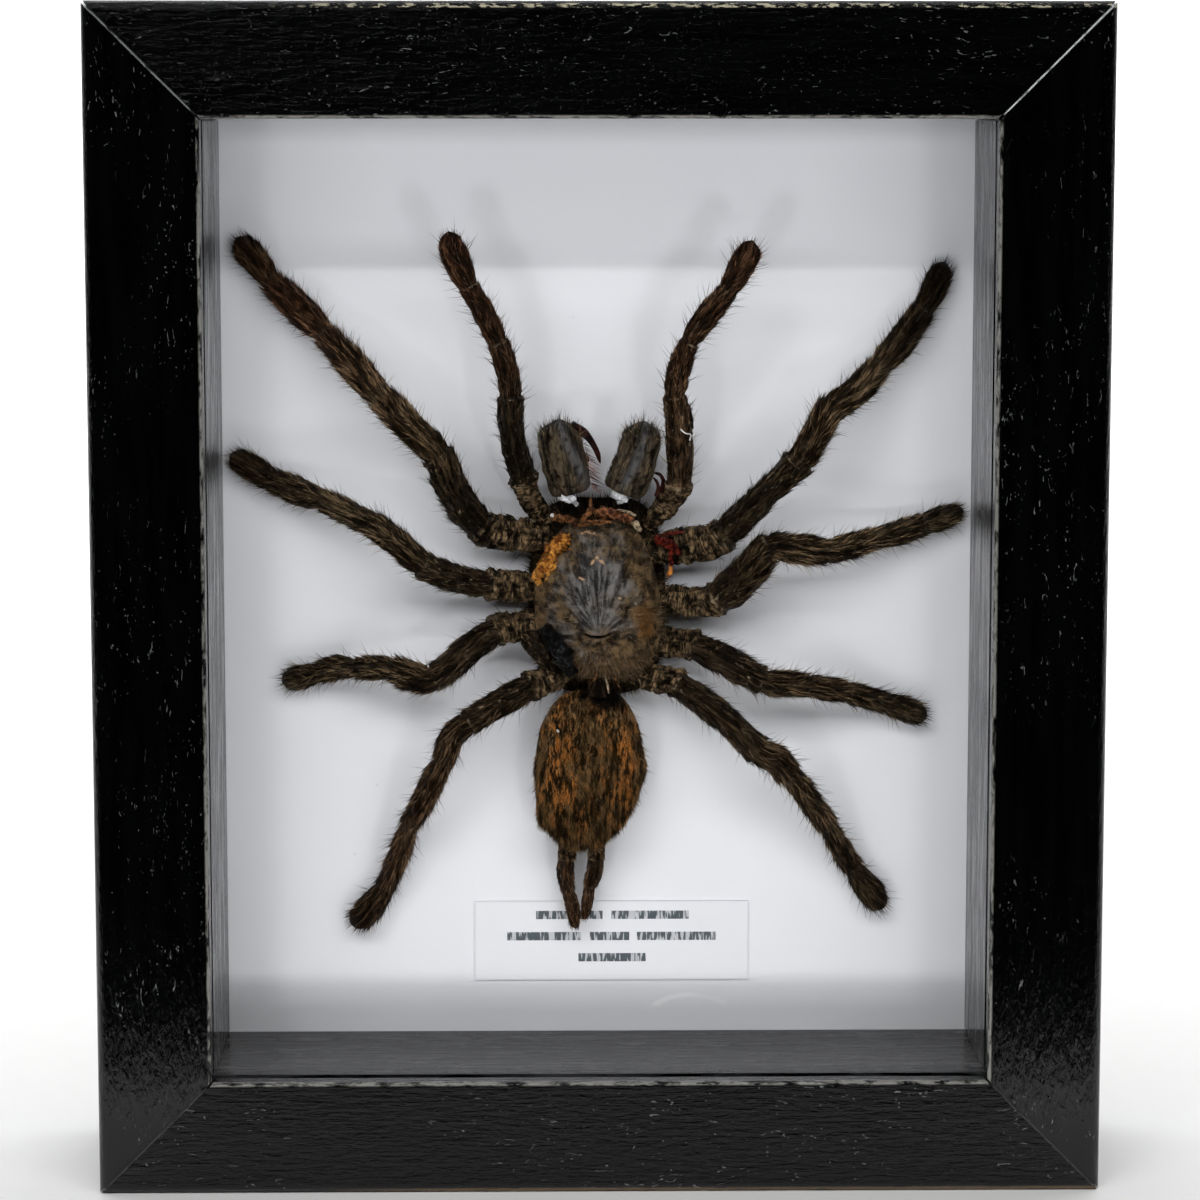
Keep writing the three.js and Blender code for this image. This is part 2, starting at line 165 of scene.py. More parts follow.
def total(tree, first, second):
    return calc(tree, "ADD", first, second)


def minus(tree, first, second):
    return calc(tree, "SUBTRACT", first, second)


def rise(tree, value, low, high):
    """0 below low, 1 above high, smooth between."""
    node = put(tree, "ShaderNodeMapRange", {"Value": value, "From Min": low, "From Max": high},
               interpolation_type="SMOOTHSTEP")
    return node.outputs["Result"]


def blend(tree, amount, first, second):
    return put(tree, "ShaderNodeMix", {0: amount, 6: first, 7: second}, data_type="RGBA").outputs[2]


def grain_noise(tree, place, scale, detail=4.0, roughness=0.55, distortion=0.0):
    return put(tree, "ShaderNodeTexNoise", {"Vector": place, "Scale": scale, "Detail": detail,
               "Roughness": roughness, "Distortion": distortion}).outputs["Fac"]


def stretched(tree, place, scale):
    return put(tree, "ShaderNodeMapping", {"Vector": place, "Scale": scale}, vector_type="POINT").outputs[0]


def object_place(tree):
    return put(tree, "ShaderNodeTexCoord").outputs["Object"]


def axes(tree, place):
    """The X, Y and Z outputs of a place."""
    return put(tree, "ShaderNodeSeparateXYZ", {0: place}).outputs


def dots(tree, place, scale, size, share):
    """Scattered dots: larger with size, and more of them with share."""
    return use_group(tree, SPECKS, {"Place": place, "Scale": scale, "Size": size,
                                    "Share": share}).outputs["Mask"]


def attribute(tree, name, output="Fac"):
    return put(tree, "ShaderNodeAttribute", attribute_name=name).outputs[output]


def color(red, green, blue):
    return (red, green, blue, 1.0)


def material(name):
    made = bpy.data.materials.new(name)
    made.use_nodes = True
    tree = made.node_tree
    return made, tree, tree.nodes["Principled BSDF"]


def relief(tree, height, strength, distance):
    return put(tree, "ShaderNodeBump", {"Height": height, "Strength": strength,
                                        "Distance": distance * MM}).outputs[0]


def shader_group(name, inputs, outputs):
    tree = bpy.data.node_groups.new(name, "ShaderNodeTree")
    for label, kind, value in inputs:
        socket = tree.interface.new_socket(label, in_out="INPUT", socket_type=kind)
        if value is not None:
            socket.default_value = value
    for label, kind in outputs:
        tree.interface.new_socket(label, in_out="OUTPUT", socket_type=kind)
    return tree, tree.nodes.new("NodeGroupInput"), tree.nodes.new("NodeGroupOutput")


def use_group(tree, group, inputs):
    return put(tree, "ShaderNodeGroup", inputs, node_tree=group)


# %% [markdown]
# Two effects are used by several finishes, so each is a node group. Specks are small scattered dots:
# dust on the card, bare spots in the paint. Streaks run along a direction: brush marks, hair, fibres.

# %% Shared effects
def make_specks():
    tree, given, out = shader_group(
        "specks", [("Place", "NodeSocketVector", None), ("Scale", "NodeSocketFloat", 900.0),
                   ("Size", "NodeSocketFloat", 0.1), ("Share", "NodeSocketFloat", 0.1)],
        [("Mask", "NodeSocketFloat")])
    place, scale = given.outputs["Place"], given.outputs["Scale"]
    cells = put(tree, "ShaderNodeTexVoronoi", {"Vector": place, "Scale": scale})
    near = calc(tree, "LESS_THAN", cells.outputs["Distance"], given.outputs["Size"])
    pick = put(tree, "ShaderNodeSeparateColor", {0: cells.outputs["Color"]})
    chosen = calc(tree, "LESS_THAN", pick.outputs[0], given.outputs["Share"])
    faint = product(tree, pick.outputs[1], product(tree, near, chosen))
    tree.links.new(faint, out.inputs["Mask"])
    return tree


def make_streaks():
    tree, given, out = shader_group(
        "streaks", [("Place", "NodeSocketVector", None), ("Fine", "NodeSocketFloat", 1.0),
                    ("Contrast", "NodeSocketFloat", 0.2)],
        [("Fine", "NodeSocketFloat"), ("Broad", "NodeSocketFloat")])
    fine = grain_noise(tree, given.outputs["Place"], given.outputs["Fine"], detail=5, roughness=0.65)
    low = minus(tree, 0.5, given.outputs["Contrast"])
    high = total(tree, 0.5, given.outputs["Contrast"])
    broad_scale = product(tree, given.outputs["Fine"], 0.23)
    broad = grain_noise(tree, given.outputs["Place"], broad_scale, detail=2)
    tree.links.new(rise(tree, fine, low, high), out.inputs["Fine"])
    tree.links.new(rise(tree, broad, low, high), out.inputs["Broad"])
    return tree


SPECKS = make_specks()
STREAKS = make_streaks()
print("groups", [g.name for g in bpy.data.node_groups])


# %% [markdown]
# ## Floor and background
# A pale sheet sweeps up behind the frame, so there is no horizon, and its front edge fades out. The
# world is white where the camera sees it, and dark in front of the frame, so that the black gloss has a
# dark room to mirror.

# %% Floor and world
def make_floor():
    reach, near, far, bend, top, fade = 3.4, -0.115, 1.2, 0.5, 3.0, 0.06
    profile = [(near, 0), (far, 0)]
    for step in range(1, 13):
        turn = step / 12 * math.pi / 2
        profile.append((far + bend * math.sin(turn), bend * (1 - math.cos(turn))))
    profile.append((far + bend, top))
    vertices = [(x, y, z) for y, z in profile for x in (-reach, reach)]
    faces = [(2 * i, 2 * i + 1, 2 * i + 3, 2 * i + 2) for i in range(len(profile) - 1)]
    mesh = bpy.data.meshes.new("floor")
    mesh.from_pydata(vertices, [], faces)
    floor = bpy.data.objects.new("floor", mesh)
    bpy.context.scene.collection.objects.link(floor)
    made, tree, shader = material("floor_paper")
    mottle = grain_noise(tree, object_place(tree), 6.0)
    feed(tree, shader, {"Base Color": blend(tree, mottle, color(0.86, 0.86, 0.86), color(0.9, 0.9, 0.9)),
                        "Roughness": 0.9, "Specular IOR Level": 0.1})
    across = axes(tree, object_place(tree))["Y"]
    there = rise(tree, across, near, near + fade)
    mixed = put(tree, "ShaderNodeMixShader", {0: there})
    tree.links.new(put(tree, "ShaderNodeBsdfTransparent").outputs[0], mixed.inputs[1])
    tree.links.new(shader.outputs[0], mixed.inputs[2])
    tree.links.new(mixed.outputs[0], tree.nodes["Material Output"].inputs["Surface"])
    mesh.materials.append(made)
    return floor


def make_world():
    world = bpy.data.worlds.new("world")
    bpy.context.scene.world = world
    world.use_nodes = True
    tree = world.node_tree
    background = tree.nodes["Background"]
    direction = axes(tree, put(tree, "ShaderNodeTexCoord").outputs["Generated"])
    behind = rise(tree, direction["Y"], -0.1, 0.5)
    above = rise(tree, direction["Z"], 0.5, 0.95)
    level = total(tree, product(tree, behind, 0.55), product(tree, above, 0.3))
    room = blend(tree, level, color(0.0, 0.0, 0.0), color(0.9, 0.92, 0.95))
    seen = put(tree, "ShaderNodeLightPath").outputs["Is Camera Ray"]
    feed(tree, background, {"Color": blend(tree, seen, room, color(1, 1, 1)), "Strength": 1.0})


make_floor()
make_world()


# %% [markdown]
# ## Frame paint
# The rails are wood brushed with black gloss. Brush marks and grain run along each rail, so upright
# and level rails have their own material, with the pattern turned. The paint has worn to pale wood
# along the sight edge and here and there on the outer arris.

# %% Distance groups
def make_edge_distance():
    """How far a place is outside the opening, inside the outline, and from the middle, in mm."""
    tree, given, out = shader_group("edge_distance", [("Place", "NodeSocketVector", None)],
                                    [("Sight", "NodeSocketFloat"), ("Outer", "NodeSocketFloat"),
                                     ("Right", "NodeSocketFloat"), ("Up", "NodeSocketFloat")])
    parts = axes(tree, given.outputs["Place"])
    right = product(tree, parts["X"], 1 / MM)
    up = minus(tree, product(tree, parts["Z"], 1 / MM), MIDDLE_Z)
    across, height = calc(tree, "ABSOLUTE", right), calc(tree, "ABSOLUTE", up)
    sight = calc(tree, "MAXIMUM", minus(tree, across, SIGHT_X), minus(tree, height, SIGHT_Z))
    inset = calc(tree, "MINIMUM", minus(tree, HALF_WIDTH, across), minus(tree, HALF_HEIGHT, height))
    for label, value in {"Right": right, "Up": up, "Sight": sight, "Outer": inset}.items():
        tree.links.new(value, out.inputs[label])
    return tree


EDGE_DISTANCE = make_edge_distance()


# %% Paint materials
def black_paint(name, along):
    """Black gloss brushed along X or Z: specks, worn sight edge, cream dots on top, bare wood below."""
    made, tree, shader = material(name)
    place = object_place(tree)
    level = along == "X"
    brushed = stretched(tree, place, (6, 60, 60) if level else (60, 60, 6))
    streaks = use_group(tree, STREAKS, {"Place": brushed, "Fine": 30.0, "Contrast": 0.22})
    long_way = stretched(tree, place, (0.3, 1, 1) if level else (1, 1, 0.3))
    peel = grain_noise(tree, long_way, 1300.0, detail=3, distortion=0.4)
    ragged_edge = grain_noise(tree, long_way, 900.0, detail=6, roughness=0.7)
    edges = use_group(tree, EDGE_DISTANCE, {"Place": place})
    depth = product(tree, axes(tree, place)["Y"], 1 / MM)
    on_front = rise(tree, depth, FRONT_Y + 1.4, FRONT_Y + 0.7)
    sight_worn = product(tree, rise(tree, edges.outputs["Sight"], 0.62, 0.30), on_front,
                         rise(tree, ragged_edge, 0.40, 0.56))
    outer_worn = product(tree, rise(tree, edges.outputs["Outer"], 0.75, 0.35),
                         rise(tree, ragged_edge, 0.66, 0.72))
    up, right = edges.outputs["Up"], edges.outputs["Right"]
    cream_band = product(tree, rise(tree, up, HALF_HEIGHT - 1.15, HALF_HEIGHT - 0.95),
                         rise(tree, up, HALF_HEIGHT - 0.35, HALF_HEIGHT - 0.55))
    crumbs = grain_noise(tree, stretched(tree, place, (1, 1, 3.0)), 520.0, detail=5, roughness=0.7)
    cream = product(tree, cream_band, rise(tree, right, -50, -35), rise(tree, crumbs, 0.52, 0.58))
    bare = product(tree, rise(tree, up, 1.0 - HALF_HEIGHT, 0.4 - HALF_HEIGHT),
                   rise(tree, right, -45, -20), rise(tree, ragged_edge, 0.35, 0.5))
    clusters = rise(tree, grain_noise(tree, place, 38.0, detail=2), 0.38, 0.58)
    scratches = grain_noise(tree, long_way, 1500.0, detail=3, roughness=0.6, distortion=1.5)
    flecks = rise(tree, scratches, 0.655, 0.70)
    spots = dots(tree, place, 760.0, 0.11, 0.2)
    facing = total(tree, product(tree, rise(tree, depth, FRONT_Y + 0.6, FRONT_Y + 0.2), 0.3), 0.04)
    marks = product(tree, calc(tree, "MAXIMUM", flecks, spots), clusters, facing)
    black = blend(tree, streaks.outputs["Broad"], color(0.0003, 0.00035, 0.00035),
                  color(0.0009, 0.001, 0.001))
    paint = blend(tree, marks, black, color(0.3, 0.31, 0.31))
    worn = calc(tree, "MAXIMUM", product(tree, sight_worn, 0.42), product(tree, outer_worn, 0.4))
    paint = blend(tree, worn, paint, color(0.42, 0.41, 0.38))
    paint = blend(tree, product(tree, cream, 0.8), paint, color(0.50, 0.46, 0.33))
    paint = blend(tree, product(tree, bare, 0.8), paint, color(0.13, 0.085, 0.045))
    dull = total(tree, product(tree, streaks.outputs["Fine"], 0.06), 0.10)
    unpainted = calc(tree, "MAXIMUM", worn, calc(tree, "MAXIMUM", cream, bare))
    dull = total(tree, dull, product(tree, unpainted, 0.4))
    height = total(tree, product(tree, streaks.outputs["Fine"], 0.3), peel)
    marks_depth = 0.17 if level else 0.15
    feed(tree, shader, {"Base Color": paint, "Roughness": dull,
                        "Normal": relief(tree, height, 1.0, marks_depth), "IOR": 1.45})
    return made


def wall_paint(name, along, index):
    """Smoother black gloss inside the box. A lower index of refraction mirrors the card less."""
    made, tree, shader = material(name)
    place = object_place(tree)
    along_wall = stretched(tree, place, (0.12, 1, 1) if along == "X" else (1, 1, 0.12))
    streaks = rise(tree, grain_noise(tree, along_wall, 480.0, detail=5, roughness=0.7), 0.42, 0.64)
    specks = dots(tree, place, 520.0, 0.12, 0.14)
    black = blend(tree, streaks, color(0.0006, 0.0006, 0.0007), color(0.045, 0.046, 0.048))
    feed(tree, shader, {"Base Color": blend(tree, product(tree, specks, 0.5), black, color(0.4, 0.4, 0.4)),
                        "Roughness": total(tree, product(tree, streaks, 0.22), 0.10),
                        "Normal": relief(tree, streaks, 0.6, 0.08), "IOR": index})
    return made


PAINT = {"X": black_paint("frame_paint_level", "X"), "Z": black_paint("frame_paint_upright", "Z")}
SIDE_WALL_PAINT = wall_paint("wall_paint_upright", "Z", 1.36)
LEVEL_WALL_PAINT = wall_paint("wall_paint_level", "X", 1.22)


def dress(node, finish):
    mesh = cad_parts[node].data
    mesh.materials.clear()
    mesh.materials.append(finish)


for side, along in (("top", "X"), ("bottom", "X"), ("left", "Z"), ("right", "Z")):
    dress("rail_" + side, PAINT[along])
    dress("wall_" + side, LEVEL_WALL_PAINT if along == "X" else SIDE_WALL_PAINT)


# %% [markdown]
# ## Mesh helpers
# New pieces are plain meshes, made from lists of points in millimetres. A number or a vector can be kept
# on each point, where a material or the hair reads it by its name.

# %% Mesh helpers
def places_of(piece):
    """Where the points of a piece are, in mm."""
    return np.array([vertex.co for vertex in piece.data.vertices]) / MM


def write(piece, label, values):
    """Keeps a number or a vector on each point. A second call with a label overwrites the first."""
    values = np.asarray(values, float)
    single = values.ndim == 1
    layers = piece.data.attributes
    layer = layers.get(label) or layers.new(label, "FLOAT" if single else "FLOAT_VECTOR", "POINT")
    layer.data.foreach_set("value" if single else "vector", values.ravel())


def read(piece, label):
    values = np.zeros(len(piece.data.vertices))
    piece.data.attributes[label].data.foreach_get("value", values)
    return values


def mesh_object(name, vertices, faces, finish, attributes=None):
    mesh = bpy.data.meshes.new(name)
    mesh.from_pydata([tuple(v) for v in np.asarray(vertices) * MM], [], faces)
    mesh.update()
    mesh.polygons.foreach_set("use_smooth", [True] * len(mesh.polygons))
    if finish:
        mesh.materials.append(finish)
    made = bpy.data.objects.new(name, mesh)
    bpy.context.scene.collection.objects.link(made)
    for label, values in (attributes or {}).items():
        write(made, label, values)
    return made


def turn_outwards(piece):
    """Faces of one closed shell all point the same way; flip them if that is inwards."""
    mesh = piece.data
    mesh.calc_loop_triangles()
    points = places_of(piece)
    corners = np.array([t.vertices for t in mesh.loop_triangles])
    a, b, c = points[corners[:, 0]], points[corners[:, 1]], points[corners[:, 2]]
    if np.einsum("ij,ij->i", a, np.cross(b, c)).sum() < 0:
        mesh.flip_normals()


# %% [markdown]
# Pale filler shows as a thin line in the four mitre gaps. It is lightest at the top right.

# %% Mitre filler
FILLER_HALF_THICKNESS = 0.11
FILLER_END = RAIL_FACE - 0.9
FILLER_PROFILE = [(1.0, 0.03), (RAIL_FACE - 1.9, 0.03), (FILLER_END, 0.5), (FILLER_END, 2.4), (0.6, 2.4),
                  (0.6, 0.5)]


def filler_material():
    made, tree, shader = material("mitre_filler")
    place = object_place(tree)
    edges = use_group(tree, EDGE_DISTANCE, {"Place": place})
    crumbs = rise(tree, grain_noise(tree, place, 420.0, detail=5, roughness=0.7), 0.36, 0.5)
    pale = blend(tree, rise(tree, edges.outputs["Right"], -20, 20), color(0.12, 0.13, 0.13),
                 color(0.42, 0.44, 0.45))
    pale = blend(tree, rise(tree, edges.outputs["Up"], -20, 20), color(0.03, 0.031, 0.032), pale)
    feed(tree, shader, {"Base Color": blend(tree, crumbs, color(0.004, 0.004, 0.004), pale),
                        "Roughness": 0.7})
    return made


def filler_slab(name, right, up, finish):
    """A thin slab in one mitre gap. right and up are 1 or -1, and the profile runs out from the opening."""
    across = Vector((right, 0, -up)).normalized() * FILLER_HALF_THICKNESS
    corners = [Vector((right * (SIGHT_X + out), FRONT_Y + back, MIDDLE_Z + up * (SIGHT_Z + out)))
               for out, back in FILLER_PROFILE]
    count = len(corners)
    vertices = [tuple(c + across) for c in corners] + [tuple(c - across) for c in corners]
    faces = [tuple(range(count)), tuple(range(2 * count - 1, count - 1, -1))]
    faces += [((i + 1) % count, i, count + i, count + (i + 1) % count) for i in range(count)]
    slab = mesh_object(name, vertices, faces, finish)
    slab.data.polygons.foreach_set("use_smooth", [False] * len(slab.data.polygons))
    turn_outwards(slab)
    return slab


FILLER = filler_material()
MITRES = [(-1, 1), (1, 1), (-1, -1), (1, -1)]
fillers = [filler_slab(f"filler_{i}", right, up, FILLER) for i, (right, up) in enumerate(MITRES)]
print("fillers", [slab.name for slab in fillers])


# %% [markdown]
# ## Glass, card, label, boards and points
# Glass keeps plain values on its own shader, and lets lamp light through, because a thin flat pane
# throws hardly any shadow. The card is matt white with dust, and a faint pale arc low on it is a painted
# reflection of a highlight on the glass. The label is a sticker with ruled bars.

# %% Sheet materials
def clear_glass():
    made, tree, shader = material("clear_glass")
    feed(tree, shader, {"Base Color": color(0.995, 0.995, 1.0), "Roughness": 0.0, "IOR": 1.45,
                        "Transmission Weight": 1.0})
    clear = put(tree, "ShaderNodeBsdfTransparent", {"Color": color(0.960, 0.962, 0.970)})
    is_shadow = put(tree, "ShaderNodeLightPath").outputs["Is Shadow Ray"]
    mixed = put(tree, "ShaderNodeMixShader", {0: is_shadow, 1: shader.outputs[0], 2: clear.outputs[0]})
    tree.links.new(mixed.outputs[0], tree.nodes["Material Output"].inputs["Surface"])
    return made


# Where the painted reflection sits on the card: a faint pale arc that stands in for a highlight on the
# glass.
PAINTED_GLINT_CENTRE = (14.6, 20.0)
PAINTED_GLINT_SIZE = (5.8, 2.6)


def white_card():
    made, tree, shader = material("white_card")
    place = object_place(tree)
    mottle = grain_noise(tree, place, 40.0)
    fibre = grain_noise(tree, place, 2500.0, detail=2)
    dust = dots(tree, place, 260.0, 0.055, 0.09)
    white = blend(tree, mottle, color(0.80, 0.81, 0.84), color(0.84, 0.85, 0.87))
    dust_and_painted_glint = blend(tree, product(tree, dust, 0.8), white, color(0.2, 0.2, 0.2))
    # The specks are dust; the pale arc painted below is a painted reflection of a highlight on the glass.
    parts = axes(tree, place)
    x = calc(tree, "DIVIDE", minus(tree, parts["X"], PAINTED_GLINT_CENTRE[0] * MM), PAINTED_GLINT_SIZE[0] * MM)
    z = calc(tree, "DIVIDE", minus(tree, parts["Z"], PAINTED_GLINT_CENTRE[1] * MM), PAINTED_GLINT_SIZE[1] * MM)
    away = calc(tree, "SQRT", total(tree, calc(tree, "POWER", x, 2.0), calc(tree, "POWER", z, 2.0)))
    arc = rise(tree, calc(tree, "ABSOLUTE", minus(tree, away, 1.0)), 0.22, 0.02)
    arc = product(tree, arc, rise(tree, z, 0.1, 0.5), rise(tree, mottle, 0.3, 0.6))
    dust_and_painted_glint = blend(tree, product(tree, arc, 0.8), dust_and_painted_glint, color(0.97, 0.97, 0.98))
    feed(tree, shader, {"Base Color": dust_and_painted_glint, "Roughness": 0.75, "Specular IOR Level": 0.25,
                        "Normal": relief(tree, fibre, 0.1, 0.02)})
    return made


LABEL_LOW, LABEL_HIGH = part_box("label")
LABEL_BARS = [(35.6, (-9.7, 0.8), (2.2, 14.4)), (32.2, (-14.2, -2.6), (-1.2, 5.0), (6.2, 18.6)),
              (28.8, (-3.0, 7.6))]
BAR_HALF_HEIGHT = 0.66


def label_paper():
    """White sticker: each bar is a height and its stretches from left to right, in mm."""
    made, tree, shader = material("label_paper")
    place = object_place(tree)
    parts = axes(tree, place)
    x = product(tree, parts["X"], 1 / MM)
    z = product(tree, parts["Z"], 1 / MM)
    ink = 0.0
    for height, *stretches in LABEL_BARS:
        row = calc(tree, "LESS_THAN", calc(tree, "ABSOLUTE", minus(tree, z, height)), BAR_HALF_HEIGHT)
        for left, right in stretches:
            off = calc(tree, "ABSOLUTE", minus(tree, x, (left + right) / 2))
            inside = calc(tree, "LESS_THAN", off, (right - left) / 2)
            ink = calc(tree, "MAXIMUM", ink, product(tree, row, inside))
    upright_lines = grain_noise(tree, stretched(tree, place, (1.0, 1.0, 0.15)), 2400.0, detail=1)
    hatch = rise(tree, upright_lines, 0.42, 0.5)
    ink = product(tree, ink, total(tree, product(tree, hatch, 0.65), 0.35))
    mottle = grain_noise(tree, place, 60.0)
    paper = blend(tree, mottle, color(0.81, 0.82, 0.85), color(0.85, 0.86, 0.88))
    to_side = calc(tree, "MINIMUM", minus(tree, x, LABEL_LOW.x / MM), minus(tree, LABEL_HIGH.x / MM, x))
    to_end = calc(tree, "MINIMUM", minus(tree, z, LABEL_LOW.z / MM), minus(tree, LABEL_HIGH.z / MM, z))
    rim = rise(tree, calc(tree, "MINIMUM", to_side, to_end), 0.3, 0.1)
    paper = blend(tree, product(tree, rim, 0.12), paper, color(0.5, 0.5, 0.52))
    feed(tree, shader, {"Base Color": blend(tree, ink, paper, color(0.09, 0.11, 0.12)), "Roughness": 0.45})
    return made


def pressed_board():
    made, tree, shader = material("pressed_board")
    place = object_place(tree)
    fibres = grain_noise(tree, place, 700.0, detail=8, roughness=0.7, distortion=1.5)
    patches = grain_noise(tree, place, 30.0, detail=3)
    brown = blend(tree, rise(tree, fibres, 0.35, 0.65), color(0.12, 0.066, 0.032), color(0.27, 0.165, 0.09))
    aged = blend(tree, product(tree, patches, 0.5), brown, color(0.2, 0.12, 0.06))
    feed(tree, shader, {"Base Color": aged, "Roughness": 0.7, "Normal": relief(tree, fibres, 0.5, 0.08)})
    return made


def stamped_steel():
    made, tree, shader = material("stamped_steel")
    brushed = stretched(tree, object_place(tree), (8, 90, 90))
    streaks = use_group(tree, STREAKS, {"Place": brushed, "Fine": 25.0, "Contrast": 0.25}).outputs["Fine"]
    steel = blend(tree, streaks, color(0.42, 0.43, 0.45), color(0.62, 0.62, 0.63))
    feed(tree, shader, {"Base Color": steel, "Metallic": 1.0,
                        "Roughness": total(tree, product(tree, streaks, 0.2), 0.3),
                        "Normal": relief(tree, streaks, 0.2, 0.03)})
    return made


dress("glass_pane", clear_glass())
dress("mount_card", white_card())
dress("label", label_paper())
dress("back_board", pressed_board())
STEEL = stamped_steel()
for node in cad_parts:
    if node.startswith("point_"):
        dress(node, STEEL)


# %% [markdown]
# ## Limbs: where they lie
# A limb is a row of joints with one middle between each pair, from the tip to the body. Every entry is
# x, z, lift and half width in millimetres, the same as in the model's construction.

# %% Limb rows
LIMBS = {
    "leg_1_left": [
        (-55.2, 141.8, 2.0, 1.1), (-52.8, 139, 2.5, 2.2), (-49.9, 135.2, 2.8, 1.6), (-45.7, 131.1, 4.2, 2.4),
        (-41.6, 127.3, 6.0, 1.7), (-37.4, 122.8, 8.4, 2.4), (-32.9, 118, 10.6, 2.1), (-28.5, 113.6, 12, 2.5),
        (-24.2, 109.3, 12, 2.4), (-22.1, 103.6, 10.2, 2.7), (-18, 98.1, 7.4, 2.6), (-14.5, 96.7, 5.8, 2.8),
        (-10.6, 96.2, 5.4, 2.7)],
    "leg_1_right": [
        (53.3, 138, 2.0, 1.1), (52, 134.9, 2.4, 2.0), (49.9, 130.7, 2.8, 1.7), (46.6, 126.1, 4.2, 2.3),
        (42.9, 122.1, 6.0, 1.9), (39.1, 118.4, 8.4, 2.3), (35.5, 116.4, 10.6, 2.2), (33.2, 112.7, 12, 2.3),
        (30.3, 108.1, 12, 2.5), (25.6, 103.3, 10.2, 2.3), (19.3, 96.6, 7.4, 2.7), (14.4, 94.8, 5.8, 2.9),
        (10.3, 94.2, 5.4, 2.7)],
    "leg_2_left": [
        (-56.6, 108.5, 1.8, 1.1), (-53.4, 106.6, 2.4, 2.1), (-49.8, 104.4, 2.6, 1.7), (-45.9, 102.9, 4, 2.2),
        (-42.2, 101.8, 5.6, 1.6), (-37.9, 99.9, 7.6, 2.1), (-34.2, 98.4, 9.6, 2.0), (-30.8, 95.9, 10.8, 2.2),
        (-26.7, 92.4, 11, 2.2), (-22.2, 90.3, 9.4, 2.3), (-17.1, 88.9, 7, 2.3), (-14.1, 88.5, 5.8, 2.5),
        (-10.9, 88.4, 5.4, 2.4)],
    "leg_2_right": [
        (56.6, 99.7, 1.8, 1.1), (53.6, 98.7, 2.2, 1.9), (50.2, 97.6, 2.6, 1.7), (46, 96.3, 4, 2.0),
        (42.3, 95.6, 5.6, 1.6), (38.4, 94.7, 7.6, 2.1), (34.7, 94.3, 9.6, 1.9), (30.5, 94.8, 10.8, 2.3),
        (26.1, 94.9, 11, 2.2), (23.1, 91.1, 9.4, 2.9), (18.4, 86.7, 7, 2.7), (14.4, 86, 5.8, 2.5),
        (10.3, 86.5, 5.4, 2.3)],
    "leg_3_left": [
        (-49, 73.1, 1.8, 0.9), (-46.2, 73.8, 2.3, 2.0), (-43.2, 74.7, 2.6, 1.6), (-40.3, 75.5, 4, 2.0),
        (-37.3, 75.7, 5.4, 1.5), (-34.3, 76, 7.2, 2.0), (-31.5, 76, 8.8, 1.8), (-28.5, 75.2, 9.8, 2.4),
        (-25.1, 74.8, 10, 2.1), (-20.5, 78.5, 8.8, 2.4), (-16, 81.5, 6.8, 2.4), (-13.2, 82.1, 5.8, 2.5),
        (-10.1, 82.5, 5.4, 2.4)],
    "leg_3_right": [
        (51.3, 67.3, 1.8, 1.0), (48.2, 68.4, 2.3, 2.0), (44.8, 69.6, 2.6, 1.6), (41.5, 70.8, 4, 1.9),
        (38.2, 71.9, 5.4, 1.6), (35, 72.6, 7.2, 2.0), (31.9, 73.5, 8.8, 1.8), (28.4, 73.9, 9.8, 2.1),
        (25.2, 74.4, 10, 2.0), (20.1, 77, 8.8, 2.5), (15, 79.3, 6.8, 2.4), (12.3, 79.6, 5.8, 2.4),
        (9.6, 79.7, 5.4, 2.3)],
    "leg_4_left": [
        (-38.4, 34.4, 1.8, 0.9), (-36.2, 36.7, 2.5, 2.2), (-33.2, 40.7, 2.6, 1.6), (-31.2, 45.7, 4.2, 1.8),
        (-29.1, 51.2, 6, 1.5), (-26.5, 56.5, 8.2, 2.0), (-23.8, 62.1, 10, 1.8), (-22.3, 66, 11, 2.1),
        (-19.9, 68.1, 11, 2.0), (-15.2, 70.8, 9.4, 2.3), (-10.6, 72.9, 7, 2.4), (-8.4, 73.8, 5.8, 2.4),
        (-6.2, 74.8, 5.4, 2.2)],
    "leg_4_right": [
        (44.7, 36.9, 1.8, 1.0), (42.9, 39.5, 2.5, 2.2), (40, 43.6, 2.6, 1.6), (37.7, 47.3, 4.2, 1.8),
        (35.6, 50.9, 6, 1.6), (32.6, 55.6, 8.2, 2.0), (29.4, 59.8, 10, 1.9), (27.1, 62.3, 11, 2.3),
        (24.5, 63.7, 11, 2.3), (19.5, 68.3, 9.4, 2.3), (12.5, 73.2, 7, 2.3), (9.9, 73.8, 5.8, 2.3),
        (7.4, 74.4, 5.4, 2.2)],
    "pedipalp_left": [
        (-22.5, 143.1, 14, 1.1), (-21.7, 139.9, 14, 2.2), (-19.4, 134.8, 14, 1.5), (-17.4, 131.3, 14, 1.8),
        (-15.1, 126.4, 13.6, 1.7), (-13.7, 122, 13, 1.9), (-13.3, 118.1, 12.4, 1.9),
        (-13.2, 112.9, 11.2, 2.1), (-11.5, 105.4, 8.2, 2.3), (-10.2, 101.9, 6, 2.1), (-8.8, 99.6, 5.2, 1.7)],
    "pedipalp_right": [
        (23.1, 141.7, 14, 1.1), (22, 139, 14, 2.1), (19.3, 134.1, 14, 1.6), (16.5, 130.7, 14, 2.0),
        (13.6, 126.4, 13.6, 1.5), (12.2, 122.5, 13, 1.9), (11.6, 118.3, 12.4, 1.8), (12.2, 113.9, 11.2, 2.3),
        (12.4, 104.6, 8.2, 2.2), (10.9, 101.7, 6, 2.1), (9, 99.4, 5.2, 1.7)],
}
print(len(LIMBS), "limbs,", sum(len(rows) for rows in LIMBS.values()), "rows")


# %% [markdown]
# Each segment has its own colour. The first number says how pale it is, and the second how red. They
# run from the tip to the thigh; the hip has its own wrinkled patches.

